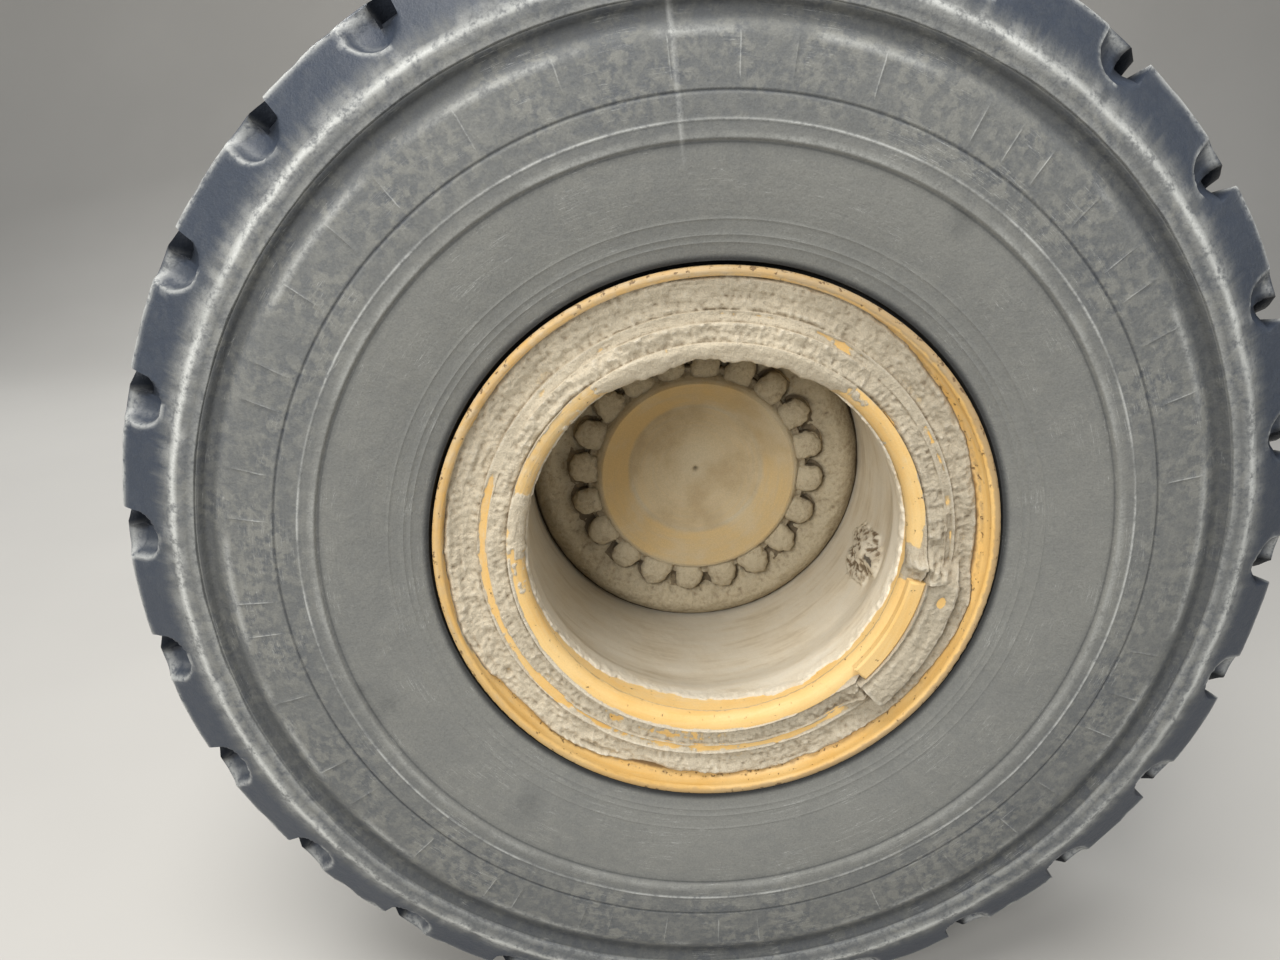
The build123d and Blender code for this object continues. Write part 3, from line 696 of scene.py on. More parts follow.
@kept
def hub_dust(dust, colours, cover):
    """Soft tan dust on the hub, crumbly between the bolts, with ochre paint through it in the dish."""
    radius = dust.radius
    patches = dust.speckle(14.0, 4.0, 0.55)
    blotches = dust.speckle(46.0)
    crumbs = dust.speckle(165.0, 4.0, 0.65)
    grit = dust.speckle(560.0, 2.0)
    wiped = dust.speckle(1.0, 3.0, 0.6, dust.drawn_out(2.0, 130.0))
    hollow = dust.mark("hollow")

    slope_middle = (cover.rim_radius + cover.dish_radius) / 2 + 0.001
    slope = (abs(radius - slope_middle) + blotches.wobble(0.003)).rise(0.0185, 0.0265, 1.0, 0.0)
    slope = slope * (patches + wiped.wobble(0.25)).rise(0.35, 0.75, 1.0, 0.40)
    slope = slope * (dust.sector(38.0, 9.0) + blotches.wobble(0.25)).rise(0.20, 0.90, 1.0, 0.22)
    floor_stain = radius.rise(0.0, cover.dish_radius, 0.05, 0.42)
    floor_stain = floor_stain * (patches + wiped.wobble(0.3)).rise(0.3, 0.8)
    on_floor = radius.rise(cover.dish_radius - 0.006, cover.dish_radius - 0.002, 1.0, 0.0)
    crumbly = radius.rise(cover.rim_radius - 0.001, cover.rim_radius + 0.010)

    smooth_tint = dust.blend(patches.rise(0.3, 0.7), colours.hub_dust, colours.pale_hub_dust)
    smooth_tint = dust.blend(floor_stain * on_floor, smooth_tint, colours.ochre)
    # painted shade in the hollows between the bolts, mixed with crumbs and blotches
    pits = hollow * 0.55 + crumbs.wobble(-0.55) + blotches.wobble(-0.40)
    crumbly_tint = dust.blend(pits.rise(-0.15, 0.70), colours.pale_hub_dust, colours.dark_and_shaded_mud)
    tint = dust.blend(crumbly, smooth_tint, crumbly_tint)
    tint = dust.blend(slope * 0.88, tint, colours.ochre)
    # painted shade: crescents outside the bolt heads and lobes, the moat round them, the mud's edge at the
    # bore and the cover's centre mark
    tint = dust.shade(tint, hollow.rise(0.15, 0.95, 1.0, 0.36))
    tint = dust.shade(tint, grit.rise(0.25, 0.75, 0.90, 1.06))
    height = (crumbs + blotches * 1.8 + grit * 0.5) * crumbly + grit * 0.06 + patches * 0.25
    return dust.done(tint, 0.93, height, 0.0026, specular=0.15)


@kept
def dusty_casting(iron, colours):
    """Iron castings on the inboard side, brown with oil and dust."""
    patches = iron.speckle(14.0)
    crumbs = iron.speckle(110.0, 5.0, 0.65)
    sand = iron.speckle(420.0, 3.0)
    settled = iron.facing_up.rise(-0.4, 0.9) * 0.45 + patches * 0.8
    film = (settled + (crumbs - 0.5) * 0.6).rise(0.40, 0.85)
    tint = iron.blend(film, colours.casting, colours.hub_dust)
    tint = iron.shade(tint, sand.rise(0.25, 0.75, 0.88, 1.08))
    return iron.done(tint, film.rise(0.0, 1.0, 0.62, 0.92), crumbs * 0.7 + sand * 0.4, 0.0012, specular=0.35)


@kept
def worn_steel(steel, colours):
    """Machined steel with a film of grease and dust."""
    patches = steel.speckle(30.0)
    turned = steel.speckle(1.0, 3.0, where=steel.drawn_out(2.0, 700.0, 900.0))
    film = patches.rise(0.35, 0.62)
    tint = steel.blend(film * 0.8, colours.steel, colours.casting)
    tint = steel.shade(tint, turned.rise(0.3, 0.7, 0.85, 1.08))
    roughness = film.rise(0.0, 1.0, 0.34, 0.80)
    metallic = film.rise(0.0, 1.0, 0.95, 0.15)
    return steel.done(tint, roughness, turned * 0.3 + patches * 0.4, 0.0005, metallic, 0.5)


# Tyre


# metres round the crown from a groove's middle to the first wall of its channel
CHANNEL_WALL = -0.0285


def tread_columns(tread):
    """Angles of the columns in one lug pitch: even ones, and ones gathered at the channel and the scoop."""
    # metres round the crown from the groove's middle: the channel's two walls, the scoop and the lug
    gathered = np.array(
        [
            CHANNEL_WALL, -0.0277, -0.0265, -0.022, -0.016, -0.010, -0.004, 0.0015, 0.0034, 0.0045, 0.009,
            0.014, 0.019, 0.024, 0.029, 0.033, 0.037, 0.0405, 0.0435, 0.0465, 0.050, 0.058, 0.070,
            0.085, 0.100, 0.115, 0.130, 0.144, 0.155, 0.162, 0.1645,
        ]
    )
    first = CHANNEL_WALL / CROWN_RADIUS
    even = np.linspace(first, first + TAU / tread.lug_count, len(gathered), endpoint=False)
    return even, gathered / CROWN_RADIUS


def tread_outline(tread):
    """Half width and radius of the tread's rows, from its middle over the shoulder to the ring groove."""
    edge = tread.shoulder_half_width
    # half width, spacing of the rows up to it
    crown = ((0.0, 0.03), (0.095, 0.03), (0.135, 0.0095), (0.180, 0.0125), (0.228, 0.012))
    return rounded_outline(
        [(half, CROWN_RADIUS - tread.crown_drop * (half / edge) ** 2, 0, spacing) for half, spacing in crown]
        + [
            (edge, CROWN_RADIUS - tread.crown_drop, 0.009, 0.0055),
            (tread.band_half_width - 0.015, tread.ridge_radius + 0.030, 0, 0.0047),
            (tread.band_half_width, tread.ridge_radius, 0.004, 0.0075),
            (tread.band_half_width - 0.001, tread.band_radius + 0.001, 0.0012, 0.008),
            (tread.band_half_width - 0.012, tread.band_radius - 0.002, 0, 0.005),
        ]
    )


def tread_side(tread, side):
    """One side of the tread: angle, radius, distance from the middle, its wear and painted highlights, and
    its painted shade.
    """
    edge, edge_radius = tread.shoulder_half_width, CROWN_RADIUS - tread.crown_drop
    rows = tread_outline(tread)
    half_width, radius = rows[:, :1], rows[:, 1:]
    steps = np.hypot(np.diff(rows[:, 0]), np.diff(rows[:, 1]))
    along = np.concatenate([[0], np.cumsum(steps)])[:, None]
    past_edge = along - along[np.argmin(np.hypot(half_width - edge, radius - edge_radius))]

    # the inboard side's grooves lie half a pitch on from the outboard side's
    even, gathered = tread_columns(tread)
    pitch = TAU / tread.lug_count
    shift = 0.0 if side > 0 else 0.5
    turned = int(round(shift * len(even)))
    gathered = np.roll(gathered, turned)
    own = gathered - pitch * (np.arange(len(even)) < turned) + shift * pitch
    gather = smooth_step((half_width - 0.012) / 0.050)
    lean = -tread.groove_lean / CROWN_RADIUS * smooth_step((edge - half_width) / 0.065)
    lug = even * (1 - gather) + own * gather + lean * smooth_step((half_width - 0.012) / 0.090)
    angle = np.concatenate([tread.first_groove + k * pitch + lug for k in range(tread.lug_count)], axis=1)
    across = np.tile(gathered * CROWN_RADIUS + 0 * radius, (1, tread.lug_count))
    signed = side * along

    # the channel between two lugs, and the rounded scoop where it comes out at the shoulder
    start = smooth_step((half_width - tread.groove_end) / 0.030)
    start = start * (0.72 + 0.28 * smooth_step((half_width - 0.190) / 0.050))
    past_wall = smooth_step((across - CHANNEL_WALL) / 0.0022)
    channel = past_wall * (1 - smooth_step((across - 0.0022) / 0.0024)) * start
    channel = channel * (1 - smooth_step((past_edge - 0.004) / 0.034))
    scoop_middle, scoop_end = 0.008, 0.022
    scoop_level = smooth_step((past_edge + 0.014) / 0.024)
    distance = np.hypot(across - scoop_middle, np.maximum(past_edge - scoop_end, 0)) / tread.scoop_radius
    distance = distance + 0.05 * layers(angle, along, 60, 0.04, 15)
    scoop = np.clip(1 - np.abs(distance) ** 2.6, 0, 1) * scoop_level * past_wall
    depth = np.maximum(channel * tread.groove_depth, scoop * tread.scoop_depth)
    # shallow dents all over, and chips along the shoulder's edge
    seed = 11 if side > 0 else 12
    depth = depth + 0.0011 * layers(angle, signed, 90, 0.055, seed)
    chips = np.clip(layers(angle, signed, 210, 0.014, 21 + seed), 0.5, 2) - 0.5
    depth = depth + 0.008 * chips * bell(past_edge / 0.010)

    worn_noise = layers(angle, signed, 160, 0.03, 27)
    # a painted highlight along the scoop's lip, fading towards the shoulder's edge
    lip = bell((distance - 1.0) / 0.085) * (across > 0.001)
    lip = lip + 0.25 * bell((distance - 0.62) / 0.12) * (across > 0.004) * past_wall
    lip = lip * scoop_level * smooth_step((past_edge + 0.003) / 0.012)
    # the shoulder's edge is rubbed pale and chipped, and painted paler still as a highlight
    rubbed_and_highlit_edge = bell((past_edge + 0.0015 + 0.0008 * worn_noise) / 0.0062) * (1 - channel) * (1 - scoop)
    ridge = bell((radius - tread.ridge_radius - 0.002 - 0.0018 * worn_noise) / 0.0050)
    ridge = ridge * np.clip(0.86 + 0.35 * layers(angle, signed, 45, 0.03, 28, 4), 0.2, 1)
    streaks = np.clip(0.4 + layers(angle, signed, 330, 0.08, 29, 2), 0, 1)
    ridge = ridge + 0.26 * streaks * bell((radius - tread.ridge_radius - 0.012) / 0.009)
    arris = 0.25 * bell((radius - tread.band_radius - 0.002) / 0.0018)
    worn = np.clip(lip * 0.66 + rubbed_and_highlit_edge + ridge + arris, 0, 1)
    # painted shade in the channels, at their mouths and in the scoops
    mouth = smooth_step((across + 0.027) / 0.004) * (1 - smooth_step((across - 0.0055) / 0.006))
    mouth = mouth * (1 - smooth_step((past_edge - 0.008) / 0.010)) * start
    hollow = np.clip(np.maximum(channel * 1.2, mouth) + 0.20 * scoop * (across < 0.012), 0, 1)

    # grooves are cut towards the axle in the middle, and more and more sideways at the shoulder
    sideways = 0.82 * smooth_step((half_width - 0.19) / (edge - 0.19))
    radius = radius - depth * np.sqrt(1 - sideways**2)
    return angle, radius, side * (half_width - depth * sideways), worn, hollow


def build_tread(tread, finish):
    """The lugs, the shoulder scoops and the ridge and band below them, on both sides of the tyre."""
    near, far = tread_side(tread, 1), tread_side(tread, -1)
    ring = 0 * near[0][:1]
    hidden_half_width, hidden_radius = tread.band_half_width - 0.06, tread.band_radius + 0.004
    # two rows close the back of the tread: their angle, radius, distance from the middle and marks
    back = (
        (far[0][-1:], near[0][-1:]),
        (ring + hidden_radius, ring + hidden_radius),
        (ring - hidden_half_width, ring + hidden_half_width),
        (ring, ring),
        (ring, ring),
    )
    angle, radius, across, worn, hollow = (
        np.concatenate([one[::-1], other[1:], *rows]) for one, other, rows in zip(near, far, back)
    )
    return lay_grid("tyre_tread", radius, angle, WHEEL_CENTRE + across, finish, worn=worn, hollow=hollow)


def wall_half_width(wall, radius):
    """Half width of the bare wall at a radius, before its rings are moulded on."""
    upper = np.clip((radius - wall.widest_radius) / 0.097, 0, None)
    lower = np.clip((wall.widest_radius - radius) / (wall.widest_radius - wall.bead_radius), 0, None)
    return SECTION_HALF_WIDTH - wall.upper_drop * upper**2 - wall.lower_drop * lower**2


def mould_ribs(angle_count, seed):
    """Columns round the wall: even ones, and three on each of the thin radial ribs of the mould."""
    rng = np.random.default_rng(seed)
    places = np.cumsum(rng.uniform(math.radians(4.0), math.radians(12.0), 60))
    places = places[places < TAU - math.radians(4.0)]
    half = 0.0022
    even = even_angles(angle_count)
    clear = np.abs(even[:, None] - places[None, :]).min(axis=1) > half * 1.2
    columns = np.concatenate([even[clear], places - half, places, places + half])
    return np.sort(columns), places


def build_wall(name, side, wall, tread, finish):
    """One sidewall with its step, raised line, seam, ring groove and the mould's thin ribs."""
    fine_lines = (0.409, 0.418, 0.437)
    by_ring = np.array([-0.005, -0.0026, -0.0016, -0.0005, 0.0005, 0.0016, 0.0026, 0.005])
    radii = [np.arange(wall.bead_radius, tread.band_radius, 0.0075), [tread.band_radius + 0.002]]
    radii += [ring + by_ring for ring in (wall.step_radius, wall.line_radius, wall.seam_radius)]
    radii += [ring + np.array([-0.002, 0.0, 0.002]) for ring in fine_lines]
    radii.append(tread.band_radius - np.array([0.013, 0.010, 0.0075, 0.005, 0.003, 0.001]))
    radius = np.unique(np.round(np.concatenate(radii), 4))[::-1][:, None]
    columns, ribs = mould_ribs(620 if side > 0 else 480, 5)
    angle = columns[None, :]

    groove = smooth_step((radius - wall.groove_start) / 0.012)
    groove = groove * (0.55 + 0.45 * smooth_step((radius - wall.groove_start) / 0.030))
    groove = groove * (1 - 1.25 * smooth_step((radius - 0.669) / 0.012))
    step = 1 - smooth_step((radius - wall.step_radius + 0.0022) / 0.0044)
    line = np.clip(1 - np.abs(radius - wall.line_radius) / 0.0022, 0, 1)
    seam = np.clip(1 - np.abs(radius - wall.seam_radius) / 0.0026, 0, 1)
    rib = np.abs(angle - ribs[:, None]).min(axis=0)[None, :] < 0.0004
    rib = rib * smooth_step((radius - wall.seam_radius - 0.010) / 0.006)
    rib = rib * (1 - smooth_step((radius - wall.groove_start + 0.006) / 0.006))
    # the mould's joint runs up the wall near its top
    from_joint = np.abs(angle - math.radians(97.0))
    joint = (from_joint < from_joint.min() + 0.001) * smooth_step((radius - 0.490) / 0.04)

    relief = wall_half_width(wall, radius) - groove * wall.groove_depth
    relief = relief - 0.0026 * step + 0.0014 * line - 0.0018 * seam
    relief = relief + 0.0012 * smooth_step((wall.seam_radius - radius) / 0.004) * (1 - step)
    for ring in fine_lines:
        relief = relief + 0.0008 * np.clip(1 - np.abs(radius - ring) / 0.002, 0, 1)
    relief = relief + 0.0008 * rib + 0.0010 * joint
    relief = relief + 0.0006 * layers(angle, radius, 40, 0.06, 31 + side)

    patchy = smooth_step(0.5 + layers(angle, radius, 50, 0.05, 35))
    # pale along the raised line, and painted highlights on the step's upper edge and along the ring groove's
    # inner rim
    worn = 0.85 * line + 0.30 * bell((radius - wall.step_radius - 0.004) / 0.0025)
    worn = worn * (0.35 + 0.65 * patchy)
    worn = worn + 0.45 * bell((radius - wall.groove_start + 0.001) / 0.0028) * patchy
    worn = worn + 0.5 * rib * patchy + 0.32 * joint
    # painted shade in the seam and just under the step
    hollow = 0.55 * seam + 0.50 * bell((radius - wall.step_radius + 0.003) / 0.0022)
    # dark smudges: angle in degrees, radius, reach
    for place, middle, reach in (
        (58.0, 0.512, 0.020), (205.0, 0.505, 0.030), (236.0, 0.470, 0.026), (318.0, 0.610, 0.024),
    ):
        away = np.hypot(turn_between(angle, place) * middle, radius - middle) / reach
        away = away + 0.45 * layers(angle, radius, 150, 0.02, 37, 3)
        hollow = hollow + 0.26 * side * np.clip(1.3 - away, 0, 1)
    # painted shadow in the gap where the wall turns in to the flange
    hollow = hollow + 0.9 * (1 - smooth_step((radius - wall.bead_radius) / 0.0035))

    # half width and radius of the turn from the wall down to the flange, under the bead and back up inside
    turn = [
        (0.2775, 0.3862), (0.268, 0.3848), (0.2570, 0.3842), (0.2515, 0.378), (0.2490, 0.366),
        (0.2473, 0.354), (0.2472, 0.318), (0.1855, 0.3125), (0.200, 0.345), (0.245, 0.400),
    ]
    thickness = 0.034
    turn += [(wall_half_width(wall, level) - thickness, level) for level in (0.460, 0.553, 0.640, 0.676)]
    turn = np.array(turn)
    radius = add_rows(radius + 0 * angle, turn[:, 1])
    out = WHEEL_CENTRE + side * add_rows(relief, turn[:, 0])
    worn = add_rows(np.clip(worn, 0, 1), 0 * turn[:, 0])
    # the turn under the bead is painted in full shade
    hollow = add_rows(np.clip(hollow, 0, 1), np.ones(len(turn)))
    return lay_grid(name, radius, angle, out, finish, worn=worn, hollow=hollow)


class WHEEL_END_OT_tyre(Operator):
    """Model the tyre: its lugged tread and its two sidewalls"""

    bl_idname = "wheel_end.tyre"
    bl_label = "Tyre"

    def execute(self, context):
        scene = context.scene
        rubber = worn_rubber(scene.wheel_end_colours, scene.wheel_end_tread, scene.wheel_end_wall)
        tread = build_tread(scene.wheel_end_tread, rubber)
        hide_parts("tyre")
        for name, side in (("tyre_wall_outboard", 1), ("tyre_wall_inboard", -1)):
            wall = build_wall(name, side, scene.wheel_end_wall, scene.wheel_end_tread, rubber)
            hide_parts("tyre")
        return {"FINISHED"}


# Rim and its mud


def repaint(nodes, finish):
    for name in nodes:
        for material_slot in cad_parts[name].material_slots:
            material_slot.material = finish


class WHEEL_END_OT_rim(Operator):
    """Finish the five rim pieces, the driver key and the wheel disc in chipped paint"""

    bl_idname = "wheel_end.rim"
    bl_label = "Rim"

    def execute(self, context):
        rings = ("rim_base", "bead_seat_band", "lock_ring", "side_ring_outboard", "side_ring_inboard")
        repaint(rings + ("driver_key", "wheel_disc"), chipped_paint(context.scene.wheel_end_colours))
        return {"FINISHED"}


# Radii on the rim's front: where the mud on the lip ends, and where the band and the flange's channel begin
LIP_END = 0.2843
BAND_START = 0.3095
CHANNEL_START = 0.3240
# Radii between which the driver key's pad lies, and half the angle that it takes
KEY_INNER = 0.2895
KEY_OUTER = 0.3372
KEY_HALF_ANGLE = math.radians(17.9)


def rim_front_metal(radius):
    """How far out the rim's own metal stands at a radius, from its mouth to the flange."""
    bend, crest, lip_edge, curl_start = 0.019, 0.281, 0.284, 0.3495
    front = RIM_FRONT - bend + np.sqrt(np.clip(bend**2 - (crest - radius) ** 2, 0, None))
    ring = np.where(radius < crest, front, RIM_FRONT)
    # radius where each further ring begins, and how far it lies behind the rim's front
    for start, behind in ((lip_edge, 0.0103), (0.3065, 0.0145), (BAND_START, 0.0057), (0.3235, 0.012)):
        ring = np.where(radius > start, RIM_FRONT - behind, ring)
    curl = RIM_FRONT + 0.007 - np.sqrt(np.clip(bend**2 - (radius - curl_start) ** 2, 0, None))
    return np.where(radius > curl_start, curl, ring)


def skin(share, thickness):
    """Height of a crust over what it lies on: it ends in a steep edge and dips below where it is missing."""
    return np.where(share > 0, np.abs(share) ** 0.55, np.maximum(share, -1) * 0.6) * thickness


def spot(at, place_deg, middle, reach_round, reach_across, steepness=2):
    """1 at an angle and a radius, falling off over a reach in radians round it and in metres across."""
    off_round = turn_between(at.angle, place_deg) / reach_round
    return np.exp(-(off_round**2) - ((at.radius - middle) / reach_across) ** steepness)


def mud_on_lip(at, crust):
    """The caked top of the lip, and the mud that creeps over the lip's outer edge, widest on the left."""
    creep = around(
        at.angle, (-60, 0.2835), (40, 0.2835), (158, 0.2832), (188, 0.2802), (225, 0.2796), (290, 0.2816)
    )
    creep = smooth_step((at.radius - creep - 0.0014 * at.ragged) / 0.0030 + 0.5) * 0.75
    thickness = crust * np.where(creep > at.top, 0.6, 1.0)
    return at.metal + skin(np.maximum(at.top, creep) * 1.45 - 0.62 + at.noise, thickness)


def mud_behind_lip(at):
    """The mud that fills the gap between the lip and the band."""
    fill = around(
        at.angle, (-150, 0.5765), (-100, 0.5738), (-50, 0.5738), (0, 0.5765), (40, 0.578),
        (60, 0.5835), (122, 0.5835), (160, 0.579),
    )
    return fill + 1.4 * at.relief - 0.0045 * (1 - at.top) * bell((at.radius - 0.2850) / 0.0018)


def mud_on_band(at, crust):
    """Patches of mud along the band, and the mud that creeps over it from both sides."""
    share = around(
        at.angle, (-100, 0.12), (-55, 0.16), (-47, 0.60), (-8, 0.60), (-4, 0.14), (11, 0.14), (18, 0.75),
        (50, 0.85), (57, 0.33), (66, 0.33), (72, 0.95), (112, 0.95), (118, 0.50), (123, 0.52), (130, 0.95),
        (160, 0.80), (169, 0.20), (203, 0.12), (240, 0.15), (252, 0.32),
    )
    middle = 0.3163
    beside = 0.60 * smooth_step((np.abs(at.radius - middle) - 0.0032 + 0.0010 * at.ragged) / 0.0030)
    return at.metal + skin(np.minimum(share + beside, 1) * 1.3 - 0.62 + at.noise, 0.8 * crust)


def mud_in_channel(at):
    """The mud in the flange's channel: its level, and how dark its outer brink is, stained and in painted
    shadow.
    """
    edge = around(
        at.angle, (-78, 0.3600), (-59, 0.3590), (-39, 0.3620), (-25, 0.3627), (-13, 0.3655),
        (-3, 0.3545), (17, 0.3545), (23, 0.3580), (42, 0.3600), (52, 0.3640), (63, 0.3685), (93, 0.3680),
        (104, 0.3705), (116, 0.3695), (140, 0.3680), (158, 0.3670), (166, 0.3688), (175, 0.3670),
        (193, 0.3670), (201, 0.3688), (208, 0.3665), (215, 0.3605), (222, 0.3585), (231, 0.3625),
        (241, 0.3620), (249, 0.3580), (255, 0.3520), (264, 0.3575), (272, 0.3600),
    )
    edge = edge + 0.0012 * at.ragged
    foot_level, rise = 0.5738, 0.0125
    climb = np.clip((at.radius - 0.332) / 0.036, 0, 1)
    level = foot_level + rise * climb**1.4 + 1.5 * at.relief + 0.0020 * at.top
    # a long cavity under the mud's edge and a small pit: degrees, radius, depth, reach round and across
    cavities = ((244, 0.3535, 0.0075, 0.15, 0.0045), (213, 0.343, 0.008, 0.022, 0.004))
    for place, middle, depth, reach_round, reach_across in cavities:
        level = level - depth * spot(at, place, middle, reach_round, reach_across)
    inside = np.clip((edge - at.radius) / 0.0045, -1, 1)
    thickness = np.maximum(level - at.metal, 0.0008) * np.sqrt(np.abs(inside))
    # how dark the brink is round the wheel: a stain along it, with painted shadow under it
    brink_stain_and_shadow = around(
        at.angle, (-60, 0.45), (0, 1.0), (40, 0.75), (80, 0.3), (170, 0.35), (222, 0.8), (262, 1.0),
        (285, 0.5),
    )
    brink = bell((edge - at.radius - 0.0005) / 0.0024) * (at.radius > 0.33) * brink_stain_and_shadow
    return at.metal + np.where(inside > 0, thickness, np.minimum(inside, 0) * 0.0030), brink


def mud_on_key(at, level, key_deg, key_out):
    """The mud's level with the driver key's crust and the clods at its ends, and where the key's pad is."""
    from_key = np.abs(turn_between(at.angle, key_deg) + 0.005 * at.ragged)
    in_turn = from_key < KEY_HALF_ANGLE
    on_key = in_turn & (at.radius > KEY_INNER + 0.0008 * at.lumpy) & (at.radius < KEY_OUTER)
    beside = in_turn & (at.radius >= KEY_OUTER) & (at.radius < KEY_OUTER + 0.0040)
    crust = 0.0046 + 0.9 * at.relief - 0.0062 * bell((at.radius - 0.2965) / 0.0050)
    crust = crust - 0.0022 * smooth_step((at.radius - 0.3320) / 0.004)
    # one patch of the key's pad shows its paint: angle in degrees, radius, reach round and across
    bare_deg, bare_radius, bare_round, bare_across = -13.5, 0.3180, 0.0085, 0.0062
    crust = crust - 0.0085 * spot(at, bare_deg, bare_radius, bare_round / bare_radius, bare_across)
    # the mud slopes down from the key's upper end
    slope = key_out + 0.0030 + at.relief - 0.24 * (from_key - KEY_HALF_ANGLE)
    sloped = (turn_between(at.angle, key_deg) > math.radians(17.5)) & (from_key < math.radians(24.0))
    sloped = sloped & (at.radius > KEY_INNER) & (at.radius < 0.3350)
    level = np.where(sloped, np.maximum(level, slope), level)
    level = np.where(on_key, key_out + crust, level)
    level = np.where(beside, level - 0.0050, level)
    # clods at the key's ends: angle in degrees, radius, height, reach round and across
    for place, middle, height, reach_round, reach_across in (
        (-5.2, 0.288, 0.020, 0.066, 0.028),
        (-46.0, 0.300, 0.016, 0.062, 0.018),
        (5.0, 0.300, 0.005, 0.09, 0.02),
    ):
        clod = height * spot(at, place, middle, reach_round, reach_across, 4) * (1 + 0.5 * at.lumpy)
        level = np.where(on_key, level, level + clod)
    return level, on_key


def build_rim_mud(mud, key_deg, key_out, finish):
    """Mud over the rim's face: the caked lip, the gap behind it, the band, the channel and the key."""
    mouth, outer = 0.2615, 0.3725
    # the first and last radius of each ring of rows, and how many there are
    rows = ((mouth, 0.2838, 15), (0.2848, 0.3090, 14), (0.3100, 0.3232, 8), (0.3245, outer, 30))
    radius = np.concatenate([np.linspace(*row) for row in rows])[:, None]
    angle = even_angles(1240)[None, :]
    at = SimpleNamespace(radius=radius, angle=angle)
    at.metal = np.where(radius > FLANGE_RADIUS - 0.0125, RIM_FRONT + 0.010, rim_front_metal(radius))
    strata = layers(angle, radius, 26, 0.011, 44, 3)
    at.lumpy = layers(angle, radius, 105, 0.015, 47, 3)
    crumbs = layers(angle, radius, 380, 0.006, 51, 2)
    at.relief = 0.0017 * strata + 0.0013 * at.lumpy + 0.0011 * crumbs
    at.noise = 0.42 * strata + 0.30 * at.lumpy + 0.12 * crumbs
    at.ragged = layers(angle, 0 * radius + 0.3, 70, 0.3, 61, 3)
    # how thickly the lip is caked round the wheel
    at.top = around(
        angle, (-60, 0.0), (-8, 0.0), (48, 0.0), (62, 0.80), (70, 1.0), (98, 1.0), (102, 0.72),
        (107, 1.0), (121, 0.95), (130, 0.10), (160, 0.05), (168, 0.78), (178, 0.72), (190, 0.12), (215, 0.0),
    )

    channel, brink = mud_in_channel(at)
    level = np.where(radius < CHANNEL_START, mud_on_band(at, mud.crust), channel)
    level = np.where(radius < BAND_START, mud_behind_lip(at), level)
    level = np.where(radius < LIP_END, mud_on_lip(at, mud.crust), level)
    level, on_key = mud_on_key(at, level, key_deg, key_out)
    brink = np.where(on_key, 0, brink)
    # painted light and shade from the mud's relief: its hollows darker, its lumps paler
    hollow = hollows(level, 4, 0.0022)
    thin = np.clip(1 - (level - at.metal) / 0.0022, 0, 1)
    # where the lip is caked, the mud leans in over the bore
    overhang = 0.0075 * at.top**2 * (0.65 + 0.5 * at.ragged) * smooth_step((0.274 - radius) / 0.011)
    sunk, furthest = 0.006, 0.578
    back_radii = (outer, 0.330, 0.300, mouth + 0.001)
    back = [(place, min(rim_front_metal(place), furthest) - sunk) for place in back_radii]
    return lay_grid(
        "rim_mud", radius - overhang, angle, level, finish, 60, back, hollow=hollow, thin=thin, brink=brink
    )


